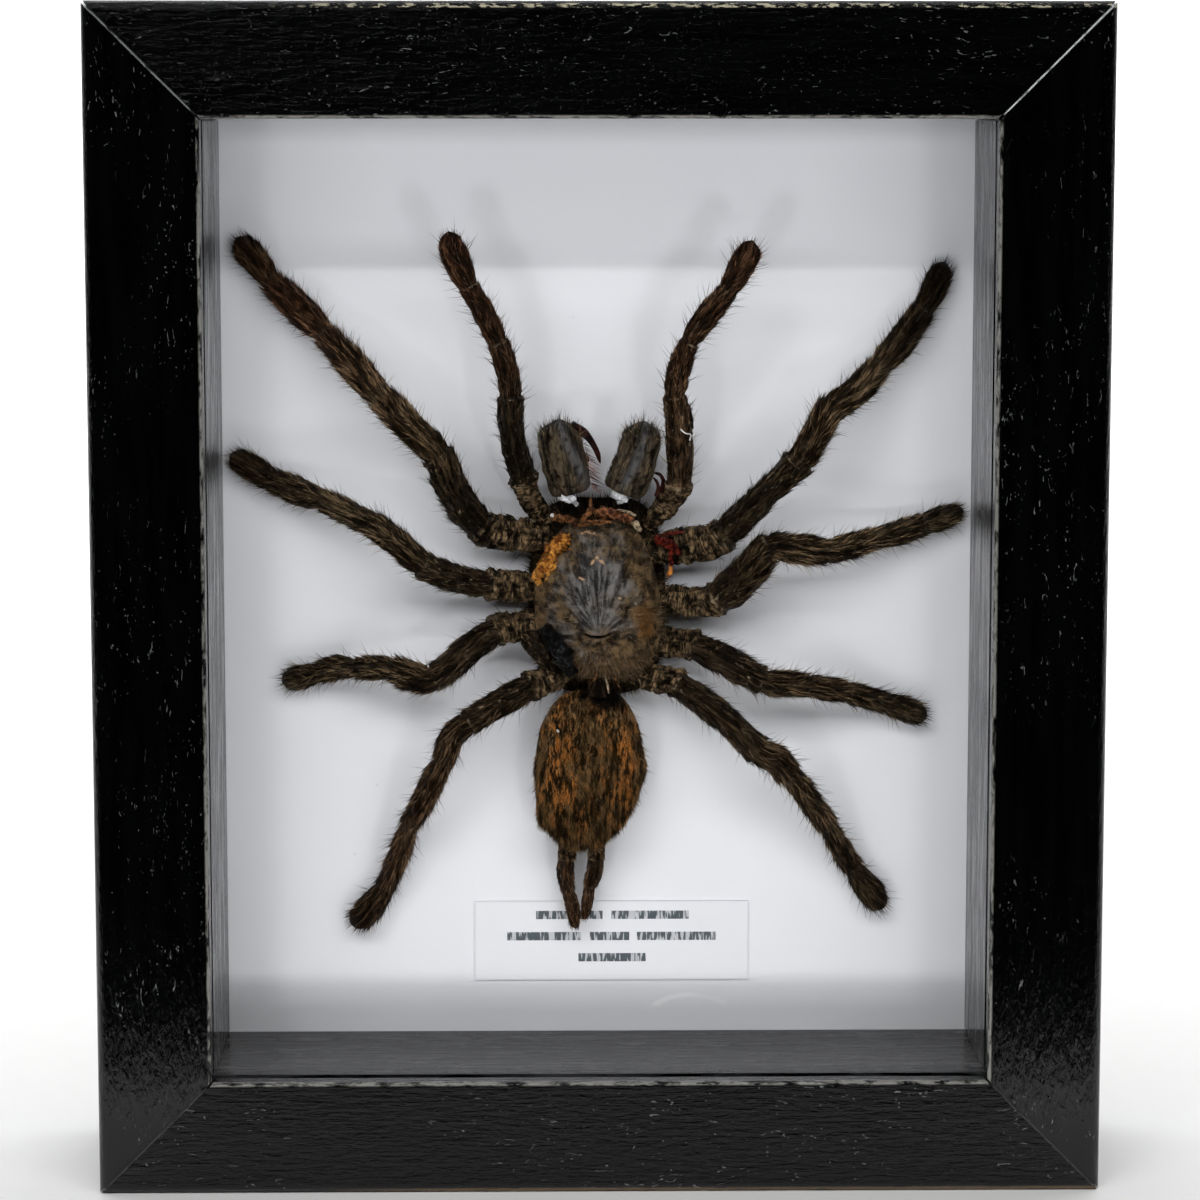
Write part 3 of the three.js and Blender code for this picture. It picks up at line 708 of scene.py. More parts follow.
# %% Limb shades
SHADES = {
    "leg_1_left": [(0.35, 0.5), (0.7, 0.9), (0.85, 0.4), (0.75, 0.2), (0.2, 0.1)],
    "leg_1_right": [(0.05, 0.2), (0.4, 0.2), (0.9, 0.0), (0.7, 0.3), (0.2, 0.0)],
    "leg_2_left": [(0.3, 0.2), (0.6, 0.1), (0.75, 0.0), (0.65, 0.1), (0.35, 0.1)],
    "leg_2_right": [(0.5, 0.0), (0.8, 0.1), (0.9, 0.0), (0.7, 0.1), (0.35, 0.2)],
    "leg_3_left": [(0.4, 0.0), (0.6, 0.1), (0.75, 0.1), (0.6, 0.1), (0.3, 0.2)],
    "leg_3_right": [(0.4, 0.1), (0.6, 0.1), (0.65, 0.2), (0.55, 0.1), (0.3, 0.2)],
    "leg_4_left": [(0.25, 0.4), (0.65, 0.5), (0.75, 0.5), (0.55, 0.3), (0.35, 0.2)],
    "leg_4_right": [(0.3, 0.1), (0.55, 0.2), (0.75, 0.2), (0.65, 0.2), (0.3, 0.2)],
    "pedipalp_left": [(0.8, 0.9), (0.55, 0.8), (0.5, 0.7), (0.08, 0.0)],
    "pedipalp_right": [(0.85, 0.8), (0.85, 0.6), (0.75, 0.7), (0.75, 0.4)],
}


# %% [markdown]
# ## Limbs: the skin under the hair
# Each limb is one skin of rings along a smooth line. A segment opens like a sleeve where it holds the
# next one, and narrows where it enters the one before. Ridges and sharp creases run along it. What hair
# and colour need later is written on its points: "lie" (how far around and along, in mm), "comb" (which
# way hair lies), and masks for joints, creases, thigh and hip.

# %% Limb skin
RINGS_PER_ROW = 14
LIMB_SIDES = 44
HAIR_ALLOWANCE = 0.2
SLEEVE = 0.13
CREASE_DEPTH = 0.20
JOINT_WIDTH = 0.16


def spline(a, b, c, d, t):
    """A Catmull-Rom curve from b, where t is 0, to c, where t is 1."""
    return 0.5 * (2 * b + (c - a) * t + (2 * a - 5 * b + 4 * c - d) * t * t
                  + (3 * b - a - 3 * c + d) * t ** 3)


def smooth_line(points, steps):
    """A smooth line through the points, with the row number of each place on it."""
    rows = np.array([2 * np.array(points[0]) - points[1], *points, 2 * np.array(points[-1]) - points[-2]],
                    float)
    line, at = [], []
    for i in range(len(points) - 1):
        for step in range(steps + (i == len(points) - 2)):
            line.append(spline(*rows[i:i + 4], step / steps))
            at.append(i + step / steps)
    return np.array(line), np.array(at)


def limb_frames(line):
    """Unit vectors along the line, to its side, and towards the glass."""
    along = np.gradient(line, axis=0)
    along /= np.linalg.norm(along, axis=1)[:, None]
    side = np.cross((0, -1, 0), along)
    side /= np.linalg.norm(side, axis=1)[:, None]
    return along, side, np.cross(along, side)


def bump(value, centre, width):
    return np.exp(-((value - centre) / width) ** 2)


def ramp(value, low, high):
    """0 below low, 1 above high, smooth between."""
    t = np.clip((np.asarray(value, float) - low) / (high - low), 0, 1)
    return t * t * (3 - 2 * t)


def fractal(x, y, z):
    return noise.fractal(Vector((x, y, z)), 0.6, 2.0, 4)


def ring_faces(rings, sides):
    """Quads between rings, closed by a fan at each end. The two end points come after the rings."""
    faces = []
    start, end = rings * sides, rings * sides + 1
    for i in range(sides):
        j = (i + 1) % sides
        faces.append((start, j, i))
        faces.extend((r * sides + i, r * sides + j, (r + 1) * sides + j, (r + 1) * sides + i)
                     for r in range(rings - 1))
        faces.append((end, (rings - 1) * sides + i, (rings - 1) * sides + j))
    return faces


def swell(rows, at):
    """Half width at each place: quick to rise out of a joint, flat over the middle."""
    widths = np.array([row[3] for row in rows])
    low = np.minimum(at.astype(int), len(rows) - 2)
    t = at - low
    leaving = np.sin(t * math.pi / 2) ** 0.7
    entering = 1 - np.cos(t * math.pi / 2) ** 0.7
    return widths[low] + (widths[low + 1] - widths[low]) * np.where(low % 2 == 0, leaving, entering)


def limb_skin(name, rows, finish, ridge=0.10, allowance=HAIR_ALLOWANCE, sides=LIMB_SIDES, crook=0.25,
              seed=0.0, sleeve=SLEEVE, shades=None, hidden=0):
    """hidden rows at the body end lie under the shield and count for no segment. The hip is the last two
    rows that count, and the thigh is the two before it."""
    spine = [(x, CARD_Y - lift, z) for x, z, lift, _ in rows]
    line, at = smooth_line(spine, RINGS_PER_ROW)
    along, side, front = limb_frames(line)
    travelled = np.concatenate([[0], np.cumsum(np.linalg.norm(np.diff(line, axis=0), axis=1))])
    half = np.maximum(swell(rows, at) - allowance, 0.12)
    last = len(rows) - 1 - hidden
    joints = (sum(bump(at, joint, JOINT_WIDTH) for joint in range(2, last, 2)) if last > 2
              else np.zeros(len(at)))
    in_segment = (at / 2) % 1
    inner = (at > 1.2) & (at < last - 0.1)
    half = half * (1 + np.where(inner, sleeve * (1 - ramp(in_segment, 0.01, 0.18)), 0))
    half = half * (1 - np.where(at < last - 1, sleeve * 0.8 * ramp(in_segment, 0.85, 0.99), 0))
    tip = np.clip(travelled / half[0], 0, 1)
    half = half * np.sqrt(np.clip(1 - (1 - tip) ** 2, 0.15, 1))
    hip = ramp(at, last - 2.15, last - 1.9) if shades else np.zeros(len(at))
    thigh = ramp(at, last - 4.15, last - 3.8) * (1 - hip) if shades else np.zeros(len(at))
    stops = np.arange(len(shades)) * 2 + 1 if shades else [0, 1]
    shade = np.interp(at, stops, [s[0] for s in shades] if shades else [0.6, 0.6])
    red = np.interp(at, stops, [s[1] for s in shades] if shades else [0.0, 0.0])
    per_ring = {"joint": joints, "hip": hip, "thigh": thigh, "shade": shade, "red": red}
    fields = {label: [] for label in ("lie", "comb", *per_ring, "crease")}
    vertices = []
    for r in range(len(line)):
        for s in range(sides):
            turn = 2 * math.pi * s / sides
            out = side[r] * math.cos(turn) + front[r] * math.sin(turn)
            u, v = math.cos(turn) * 1.6, math.sin(turn) * 1.6
            ridges = fractal(u * 2.0 + seed, v * 2.0, travelled[r] * 0.16)
            crossing = abs(fractal(u * 1.3 + seed, v * 1.3 + 5, travelled[r] * 0.12 + 3))
            crease = 1 - float(ramp(crossing, 0.0, 0.16))
            dents = fractal(u * 0.6 + seed, v * 0.6 + 9, travelled[r] * 0.35)
            lumps = fractal(u * 1.1 + seed, v * 1.1, travelled[r] * 1.1) * hip[r]
            radius = half[r] * (1 + ridge * ridges + crook * 0.4 * dents + 0.16 * lumps
                                - CREASE_DEPTH * crease)
            vertices.append(line[r] + out * radius)
            fields["lie"].append((u + seed, v, travelled[r]))
            stray = fractal(u * 0.9 + seed, v * 0.9, travelled[r] * 0.4)
            fields["comb"].append(-along[r] + side[r] * 0.4 * stray)
            fields["crease"].append(crease)
            for label, values in per_ring.items():
                fields[label].append(values[r])
    for end in (0, -1):
        beyond = -half[0] * 0.4 if end == 0 else 0.2
        vertices.append(line[end] + along[end] * beyond)
        for label, values in fields.items():
            values.append(values[0] if end == 0 else values[len(line) * sides - 1])
    return mesh_object(name, vertices, ring_faces(len(line), sides), finish, fields)


def thin_skin(name, rows, finish, sides, ridge=0.3, crook=0.8, seed=0.0):
    """A limb skin for a small thing: it leaves no room for hair and has no sleeves."""
    return limb_skin(name, rows, finish, ridge=ridge, allowance=0, sides=sides, crook=crook, seed=seed,
                     sleeve=0)


# %% [markdown]
# The skin's colour is nearly black-brown, with olive or red-brown streaks along the limb, painted shade
# in the creases, a pale thin ring at each joint and wrinkled tan patches on the hip. The thigh is the
# darkest.

# %% Limb skin material
BLACK_BROWN = color(0.0026, 0.0018, 0.0011)
OLIVE = color(0.115, 0.079, 0.040)
RED_BROWN = color(0.120, 0.052, 0.026)


def cuticle(name, dark=BLACK_BROWN, pale=OLIVE, pale_share=1.0, hip_color=(0.29, 0.195, 0.102), sheen=0.22):
    made, tree, shader = material(name)
    lie = attribute(tree, "lie", "Vector")
    streaks = use_group(tree, STREAKS, {"Place": stretched(tree, lie, (2.6, 2.6, 0.28)), "Fine": 1.6,
                                        "Contrast": 0.12})
    wrinkles = grain_noise(tree, stretched(tree, lie, (0.4, 0.4, 1.3)), 1.5, detail=6, roughness=0.7,
                           distortion=1.1)
    patches = grain_noise(tree, lie, 0.75, detail=3, roughness=0.6)
    shade, hip = attribute(tree, "shade"), attribute(tree, "hip")
    amount = product(tree, streaks.outputs["Fine"], total(tree, streaks.outputs["Broad"], 0.2))
    amount = product(tree, amount, total(tree, product(tree, shade, 0.85), 0.15))
    amount = calc(tree, "MULTIPLY", amount, pale_share, clamp=True)
    base = blend(tree, amount, dark, blend(tree, attribute(tree, "red"), pale, RED_BROWN))
    hip_amount = product(tree, rise(tree, wrinkles, 0.40, 0.62), rise(tree, patches, 0.38, 0.58))
    base = blend(tree, product(tree, hip, 0.92), base, blend(tree, hip_amount, dark, color(*hip_color)))
    rubbed = grain_noise(tree, stretched(tree, lie, (1.2, 1.2, 0.6)), 1.3, detail=5, roughness=0.7)
    scuff = rise(tree, rubbed, 0.6, 0.66)
    scuff = product(tree, scuff, total(tree, product(tree, attribute(tree, "thigh"), 0.5), 0.2))
    base = blend(tree, scuff, base, color(0.30, 0.235, 0.15))
    ring = product(tree, rise(tree, attribute(tree, "joint"), 0.86, 0.98), rise(tree, wrinkles, 0.45, 0.6))
    ring = product(tree, ring, rise(tree, patches, 0.44, 0.56))
    base = blend(tree, product(tree, ring, 0.75), base, color(0.33, 0.26, 0.175))
    # Painted shade: the creases, where the skin dents in, are painted near black.
    base = blend(tree, product(tree, attribute(tree, "crease"), 0.8), base, color(0.002, 0.0015, 0.001))
    rough = minus(tree, 0.6, product(tree, attribute(tree, "thigh"), 0.22))
    rough = total(tree, rough, product(tree, streaks.outputs["Fine"], 0.15))
    height = total(tree, streaks.outputs["Fine"], product(tree, wrinkles, 0.8))
    feed(tree, shader, {"Base Color": base, "Roughness": rough, "Specular IOR Level": sheen,
                        "Normal": relief(tree, height, 0.9, 0.16)})
    return made


LIMB_CUTICLE = cuticle("limb_cuticle")


# %% [markdown]
# ## Hair
# Hair is real mesh, because it gives the limbs their soft outline. One Geometry Nodes tree scatters
# thin three-sided spikes over a skin, leans them along "comb" and ends in plain mesh. "fur" says where
# hair grows, and "tone" gives each hair a number that its material turns into a shade.

# %% Hair tree
HAIR_INPUTS = [("Density", "NodeSocketFloat", 10.0), ("Length", "NodeSocketFloat", 1.0),
               ("Thickness", "NodeSocketFloat", 0.05), ("Lean", "NodeSocketFloat", 0.7),
               ("Spread", "NodeSocketFloat", 0.2), ("Bend", "NodeSocketFloat", 0.2),
               ("Segments", "NodeSocketInt", 1), ("Seed", "NodeSocketInt", 1),
               ("Material", "NodeSocketMaterial", None)]
TIP_DRIFT = -10.0  # how far a bend of 1 carries a hair's tip, in thicknesses


def make_hair_tree():
    tree = bpy.data.node_groups.new("hair", "GeometryNodeTree")
    tree.interface.new_socket("Geometry", in_out="INPUT", socket_type="NodeSocketGeometry")
    for label, kind, value in HAIR_INPUTS:
        socket = tree.interface.new_socket(label, in_out="INPUT", socket_type=kind)
        if value is not None:
            socket.default_value = value
    tree.interface.new_socket("Geometry", in_out="OUTPUT", socket_type="NodeSocketGeometry")
    given, out = tree.nodes.new("NodeGroupInput"), tree.nodes.new("NodeGroupOutput")
    get = given.outputs

    def add(first, second):
        return put(tree, "ShaderNodeVectorMath", {0: first, 1: second}, operation="ADD").outputs[0]

    def scaled(first, factor):
        return put(tree, "ShaderNodeVectorMath", {0: first, "Scale": factor}, operation="SCALE").outputs[0]

    def named(label, kind):
        return put(tree, "GeometryNodeInputNamedAttribute", {"Name": label},
                   data_type=kind).outputs["Attribute"]

    def dice(kind, low, high, offset):
        seed = total(tree, get["Seed"], offset)
        node = tree.nodes.new("FunctionNodeRandomValue")
        node.data_type = kind
        slots = [s for s in node.inputs if s.enabled]
        slots[0].default_value, slots[1].default_value = low, high
        tree.links.new(seed, node.inputs["Seed"])
        return [s for s in node.outputs if s.enabled][0]

    points = put(tree, "GeometryNodeDistributePointsOnFaces",
                 {"Mesh": get["Geometry"], "Seed": get["Seed"],
                  "Density": product(tree, get["Density"], 1 / MM ** 2, named("fur", "FLOAT"))})
    upright = minus(tree, 1.0, get["Lean"])
    facing = scaled(points.outputs["Normal"], upright)
    lying = scaled(named("comb", "FLOAT_VECTOR"), get["Lean"])
    stray = scaled(dice("FLOAT_VECTOR", (-1, -1, -1), (1, 1, 1), 11), get["Spread"])
    way = add(add(facing, lying), stray)
    turned = put(tree, "FunctionNodeAlignRotationToVector", {"Vector": way}, axis="Z")
    turned = put(tree, "FunctionNodeAlignRotationToVector",
                 {"Rotation": turned.outputs[0], "Vector": points.outputs["Normal"]}, axis="X",
                 pivot_axis="Z")
    spike = put(tree, "GeometryNodeMeshCone", {"Vertices": 3, "Side Segments": get["Segments"],
                "Radius Top": 0.0, "Radius Bottom": 1.0, "Depth": 1.0})
    height = axes(tree, put(tree, "GeometryNodeInputPosition").outputs[0])["Z"]
    droop = product(tree, calc(tree, "POWER", height, 2.0), get["Bend"])
    sideways = put(tree, "ShaderNodeCombineXYZ", {"X": product(tree, droop, TIP_DRIFT)}).outputs[0]
    bent = put(tree, "GeometryNodeSetPosition", {"Geometry": spike.outputs["Mesh"], "Offset": sideways})
    long = product(tree, get["Length"], dice("FLOAT", 0.45, 1.0, 23))
    thick = product(tree, get["Thickness"], MM)
    size = put(tree, "ShaderNodeCombineXYZ", {"X": thick, "Y": thick, "Z": product(tree, long, MM)})
    placed = put(tree, "GeometryNodeInstanceOnPoints", {
        "Points": points.outputs["Points"], "Instance": bent.outputs[0], "Rotation": turned.outputs[0],
        "Scale": size.outputs[0]})
    toned = put(tree, "GeometryNodeStoreNamedAttribute", {
        "Geometry": placed.outputs[0], "Name": "tone", "Value": dice("FLOAT", 0.0, 1.0, 37)},
        data_type="FLOAT", domain="INSTANCE")
    real = put(tree, "GeometryNodeRealizeInstances", {"Geometry": toned.outputs[0]})
    painted = put(tree, "GeometryNodeSetMaterial", {"Geometry": real.outputs[0],
                                                    "Material": get["Material"]})
    tree.links.new(painted.outputs[0], out.inputs[0])
    return tree


HAIR_TREE = make_hair_tree()


def grow_hair(name, skin, **choices):
    """Runs the hair tree on a copy of the skin and keeps a plain mesh. Hair is straight unless told."""
    choices = {"bend": 0.0, "segments": 1, "material": LIMB_HAIR} | choices
    bed = bpy.data.objects.new(name + "_bed", skin.data.copy())
    bpy.context.scene.collection.objects.link(bed)
    modifier = bed.modifiers.new("hair", "NODES")
    modifier.node_group = HAIR_TREE
    sockets = {item.name: item.identifier for item in HAIR_TREE.interface.items_tree
               if item.in_out == "INPUT"}
    for label, value in choices.items():
        modifier[sockets[label.capitalize()]] = value
    bpy.context.view_layer.update()
    evaluated = bed.evaluated_get(bpy.context.evaluated_depsgraph_get())
    mesh = bpy.data.meshes.new_from_object(evaluated, preserve_all_data_layers=True,
                                           depsgraph=bpy.context.evaluated_depsgraph_get())
    bpy.data.objects.remove(bed)
    mesh.name = name
    hair = bpy.data.objects.new(name, mesh)
    bpy.context.scene.collection.objects.link(hair)
    mesh.calc_loop_triangles()
    print(name, len(mesh.loop_triangles), "triangles")
    return hair


def hair_material(name, dark, mid, pale, shine=0.35):
    """Hair of one patch shares a shade, and each hair has its own tone as well."""
    made, tree, shader = material(name)
    lie = attribute(tree, "lie", "Vector")
    tuft = rise(tree, grain_noise(tree, stretched(tree, lie, (2.4, 2.4, 0.19)), 1.4, detail=3), 0.43, 0.58)
    tone = total(tree, product(tree, tuft, 0.58), product(tree, attribute(tree, "tone"), 0.42))
    shade = attribute(tree, "shade")
    to_mid = product(tree, rise(tree, tone, 0.2, 0.62), total(tree, product(tree, shade, 0.8), 0.2))
    to_pale = product(tree, rise(tree, tone, 0.62, 0.86), shade)
    red = attribute(tree, "red")
    base = blend(tree, to_mid, dark, blend(tree, red, mid, color(0.060, 0.022, 0.011)))
    base = blend(tree, to_pale, base, blend(tree, red, pale, color(0.24, 0.105, 0.052)))
    # Painted shade: hair that grows in a crease is painted dark.
    base = blend(tree, product(tree, attribute(tree, "crease"), 0.85), base, dark)
    feed(tree, shader, {"Base Color": base, "Roughness": 0.42, "Specular IOR Level": shine})
    return made


LIMB_HAIR = hair_material("limb_hair", color(0.0016, 0.0010, 0.0006), color(0.031, 0.0195, 0.0085),
                          color(0.42, 0.295, 0.160))


# %% Limbs and their hair
def set_fur(skin, share=1.0):
    """Says how much of the hair grows: one share everywhere, or one for each point."""
    write(skin, "fur", np.full(len(skin.data.vertices), share, float))


def under_shield(rows):
    """One more row that carries the limb in under the shield."""
    (x1, z1, _, _), (x2, z2, lift, half) = rows[-2:]
    return (x2 + (x2 - x1) * 0.7, z2 + (z2 - z1) * 0.7, lift - 0.9, half * 0.85)


def away_from_tip(skin, tip, reach=3.4):
    """Rises from 0.25 at a limb's tip to 1 a few millimetres away, so that the tip is no brush."""
    places = places_of(skin)
    return np.clip(np.hypot(places[:, 0] - tip[0], places[:, 2] - tip[1]) / reach, 0.25, 1)


pieces = []
for number, (limb, rows) in enumerate(LIMBS.items()):
    skin = limb_skin(limb + "_skin", rows + [under_shield(rows)], LIMB_CUTICLE, seed=number * 7.3,
                     shades=SHADES[limb], hidden=1)
    bareness = (0.9 * read(skin, "hip") + 0.5 * read(skin, "thigh") + 0.5 * read(skin, "crease")
                + 0.8 * read(skin, "joint") ** 6)
    set_fur(skin, np.clip(1 - bareness, 0.04, 1) * away_from_tip(skin, rows[0]))
    palp = limb.startswith("pedipalp")
    density, length = (7.0, 1.2) if palp else (10.0, 1.9)
    coat = grow_hair(limb + "_coat", skin, density=density, length=length, thickness=0.055, lean=0.80,
                     spread=0.13, seed=100 + number)
    bristles = grow_hair(limb + "_bristles", skin, density=0.9, length=3.3, thickness=0.048, lean=0.5,
                         spread=0.3, bend=0.3, segments=2, seed=300 + number)
    pieces += [(skin, limb), (coat, limb), (bristles, limb)]


# %% [markdown]
# ## Body shells
# The carapace and the abdomen are rounded shells inside an outline. Rings shrink from the outline to
# the middle, and a height is worked out for every point, so furrows and lumps are real shape. Marks on
# the shell are lines or spots with a soft ragged edge; each mark is kept as a number on the points,
# and the material turns it into a colour.

# %% Shell helper
def closed_outline(points, count):
    """A smooth closed loop through the points."""
    points = np.array(points, float)
    loop = []
    for i in range(count):
        at = i / count * len(points)
        k, t = int(at), at - int(at)
        loop.append(spline(*(points[(k + shift) % len(points)] for shift in (-1, 0, 1, 2)), t))
    return np.array(loop)


def shell(name, outline, centre, top_height, bottom_lift, finish, marks, top_rings=90, sides=220):
    rim = closed_outline(outline, sides) - centre
    fractions = [*np.linspace(0.012, 0.86, top_rings), *np.linspace(0.875, 1.0, 12)]
    under = [0.985, 0.95, 0.85, 0.65, 0.35, 0.1]
    vertices, seen = [], []
    for fraction in fractions:
        for away in rim * fraction + centre:
            vertices.append((away[0], CARD_Y - top_height(away[0], away[1], fraction), away[1]))
            seen.append(1.0)
    edge = [CARD_Y - v[1] for v in vertices[-sides:]]
    for fraction in under:
        drop = math.sqrt(1 - fraction ** 2)
        for away, lift in zip(rim * fraction + centre, edge):
            vertices.append((away[0], CARD_Y - (lift + (bottom_lift - lift) * drop), away[1]))
            seen.append(0.0)
    vertices.append((centre[0], CARD_Y - top_height(centre[0], centre[1], 0), centre[1]))
    vertices.append((centre[0], CARD_Y - bottom_lift, centre[1]))
    seen += [1.0, 0.0]
    fields = {label: [rule(v[0], v[2]) * s for v, s in zip(vertices, seen)]
              for label, rule in marks.items()}
    made = mesh_object(name, vertices, ring_faces(len(fractions) + len(under), sides), finish, fields)
    turn_outwards(made)
    return made


def line_distance(x, z, stops):
    best = 1e9
    for (x1, z1), (x2, z2) in zip(stops, stops[1:]):
        run = (x2 - x1) ** 2 + (z2 - z1) ** 2
        t = max(0, min(1, ((x - x1) * (x2 - x1) + (z - z1) * (z2 - z1)) / run))
        best = min(best, math.hypot(x - x1 - t * (x2 - x1), z - z1 - t * (z2 - z1)))
    return best


def soft(distance, width, edge):
    """1 inside width, 0 outside, with a soft edge."""
    t = max(0, min(1, (width + edge / 2 - distance) / edge))
    return t * t * (3 - 2 * t)


def ragged(x, z, size, strength):
    return strength * fractal(x / size, z / size, 3.1)


# %% [markdown]
# ## Carapace
# The shield over the front of the body: a raised head part in front, furrows that run in from the legs,
# and a short curved pit behind its middle. The left front margin is broken, with an orange crust.

# %% Carapace marks
CARAPACE_OUTLINE = [(0.3, 98.8), (4.6, 98.6), (6.8, 96), (8.6, 91.4), (9.7, 86), (9.6, 81.0),
                    (8.2, 77.2), (5.4, 74.8), (0, 74.2), (-3.4, 75.0), (-6.8, 77.6), (-9.2, 82),
                    (-9.8, 87), (-9.4, 91.8), (-6.9, 96), (-4, 98.6)]
CARAPACE_CENTRE = (0, 86.5)
CARAPACE_EDGE_LIFT = 7.0
CARAPACE_TOP_LIFT = 11.2
PIT_Z = 81.5
PIT = [(-2.0, 81.75), (-1.2, 81.35), (-0.1, 81.2), (1.0, 81.35), (1.8, 81.75)]
HEAD_FURROWS = [[(-5.6, 96.0), (-4.6, 91.5), (-2.6, 87.5), (-0.8, 83.2)],
                [(6.0, 96.0), (4.2, 91.5), (2.4, 87.5), (0.8, 83.2)]]
SIDE_FURROWS = [[(-9.2, 90.5), (-6, 87.5), (-2.4, 82.6)], [(-9.6, 86), (-6, 84.2), (-2.6, 82)],
                [(-8.9, 80.5), (-5.6, 81), (-2.4, 81)], [(-6.4, 77), (-4, 79), (-1.4, 80.6)],
                [(8.8, 90.5), (6, 87.5), (2.4, 82.6)], [(9.4, 86), (6, 84.2), (2.6, 82)],
                [(8.8, 80.5), (5.6, 81), (2.4, 81)], [(6.4, 77), (4, 79), (1.4, 80.6)]]
CRUST = [(-6.0, 95.8), (-7.6, 95.0), (-7.6, 92.8), (-8.8, 91.2), (-9.3, 90.3)]
FLECKS = [([(-2.6, 97.0), (-1.6, 97.4), (-0.3, 97.0)], 0.12),
          ([(-1.1, 92.7), (-0.25, 93.7), (0.8, 92.7)], 0.16),
          ([(-2.9, 90.5), (-2.3, 90.3)], 0.14),
          ([(3.2, 87.3), (3.25, 87.3)], 0.1),
          ([(5.7, 86.5), (5.75, 86.5)], 0.1)]
RUST_PATCH = [(6.8, 84.6), (7.4, 82.0)]


def crust_mark(x, z):
    gaps = soft(-fractal(x * 0.9, z * 0.9, 8.0), 0.35, 0.3)
    return soft(line_distance(x, z, CRUST) + ragged(x, z, 0.9, 0.8), 1.15, 0.3) * gaps


def fleck_mark(x, z):
    edge = ragged(x, z, 0.4, 0.22)
    return max(soft(line_distance(x, z, stops) + edge, width, 0.2) for stops, width in FLECKS)


def pit_mark(x, z):
    return soft(line_distance(x, z, PIT), 0.2 - 0.05 * abs(x), 0.22)


def furrow_mark(x, z):
    deep = max(soft(line_distance(x, z, f) + ragged(x, z, 1.6, 0.5), 0.1, 1.0) for f in HEAD_FURROWS)
    faint = max(soft(line_distance(x, z, f) + ragged(x, z, 1.2, 0.6), 0.05, 0.9) for f in SIDE_FURROWS)
    return max(deep, 0.55 * faint)


def grey_mark(x, z):
    spot = math.hypot((x + 0.8) / 6.4, (z - 88.6) / 9.4) + ragged(x, z, 3.4, 0.5)
    return soft(spot, 0.8, 0.9)


def gold_mark(x, z):
    rear = soft(z - 78.6 + ragged(x, z, 1.5, 1.6), 0, 2.6)
    right_rim = soft(9.3 - x + ragged(x, z, 0.8, 0.3), 0.2, 0.6) * soft(abs(z - 82), 6, 3)
    return max(rear, right_rim)


def rust_mark(x, z):
    return soft(line_distance(x, z, RUST_PATCH) + ragged(x, z, 1.4, 0.9), 1.3, 1.2)


def streak_height(x, z):
    """Fine folds that run out from the pit."""
    turn, far = math.atan2(z - PIT_Z, x), math.hypot(x, z - PIT_Z)
    return fractal(turn * 7.0, far * 0.16, 5.5) * min(1, far / 3)


def carapace_height(x, z, fraction):
    dome = CARAPACE_EDGE_LIFT + (CARAPACE_TOP_LIFT - CARAPACE_EDGE_LIFT) * (1 - fraction ** 3.2) ** 0.75
    head = 0.9 * soft(math.hypot((x - 0.3) / 5.4, (z - 93.6) / 5.6), 0.8, 0.5)
    lumps = 0.24 * fractal(x * 0.7, z * 0.7, 1.0) + 0.07 * fractal(x * 3.2, z * 3.2, 2.0)
    folds = 0.22 * streak_height(x, z) * min(1, (1 - fraction) * 5)
    marks = 0.9 * crust_mark(x, z) * (0.7 + 0.9 * fractal(x * 1.6, z * 1.6, 4)) + 0.12 * fleck_mark(x, z)
    rim = 0.35 * soft(1 - fraction, 0.02, 0.05)
    return dome + head + lumps + folds + marks + rim - 0.5 * furrow_mark(x, z) - 1.1 * pit_mark(x, z)


# %% Carapace
def carapace_material():
    made, tree, shader = material("carapace_cuticle")
    place = object_place(tree)
    mottle = grain_noise(tree, place, 620.0, detail=6, roughness=0.7)
    fine = grain_noise(tree, place, 2400.0, detail=4, roughness=0.65)
    speckle = rise(tree, fine, 0.42, 0.66)
    brown = blend(tree, rise(tree, mottle, 0.38, 0.66), color(0.009, 0.0058, 0.0033),
                  color(0.138, 0.089, 0.042))
    folded = total(tree, mottle, product(tree, attribute(tree, "fold"), 0.4))
    grey = blend(tree, rise(tree, folded, 0.45, 0.95), color(0.016, 0.015, 0.0145),
                 color(0.165, 0.158, 0.150))
    base = blend(tree, attribute(tree, "grey"), brown, grey)
    base = blend(tree, product(tree, rise(tree, fine, 0.58, 0.7), 0.5), base, color(0.21, 0.17, 0.12))
    rust = calc(tree, "MULTIPLY", attribute(tree, "rust"), total(tree, speckle, 0.35), clamp=True)
    base = blend(tree, rust, base, color(0.110, 0.050, 0.014))
    base = blend(tree, product(tree, attribute(tree, "gold"), speckle), base, color(0.16, 0.105, 0.058))
    # Painted shade: the furrows and the pit, where the shell dips in, are painted near black.
    base = blend(tree, product(tree, attribute(tree, "furrow"), 0.8), base, color(0.004, 0.0035, 0.003))
    base = blend(tree, attribute(tree, "pit"), base, color(0.001, 0.001, 0.001))
    yellow = blend(tree, rise(tree, mottle, 0.38, 0.62), color(0.16, 0.045, 0.006), color(0.62, 0.27, 0.045))
    base = blend(tree, attribute(tree, "crust"), base, yellow)
    base = blend(tree, attribute(tree, "fleck"), base, color(0.42, 0.27, 0.16))
    height = total(tree, mottle, product(tree, fine, 0.4))
    rough = minus(tree, 0.62, product(tree, attribute(tree, "grey"), 0.14))
    feed(tree, shader, {"Base Color": base, "Roughness": rough, "Specular IOR Level": 0.3,
                        "Normal": relief(tree, height, 0.9, 0.16)})
    return made


carapace = shell(
    "carapace", CARAPACE_OUTLINE, CARAPACE_CENTRE, carapace_height, 4.0, carapace_material(),
    {"grey": grey_mark, "gold": gold_mark, "rust": rust_mark, "furrow": furrow_mark, "pit": pit_mark,
     "crust": crust_mark, "fleck": fleck_mark, "fold": lambda x, z: 0.5 + streak_height(x, z)})
print("carapace", len(carapace.data.vertices), "points")


# %% [markdown]
# Fine golden hair lies over the back part of the shield and its rim. It is grown by the same tree, and
# its "comb" runs outwards from a place just in front of the pit.

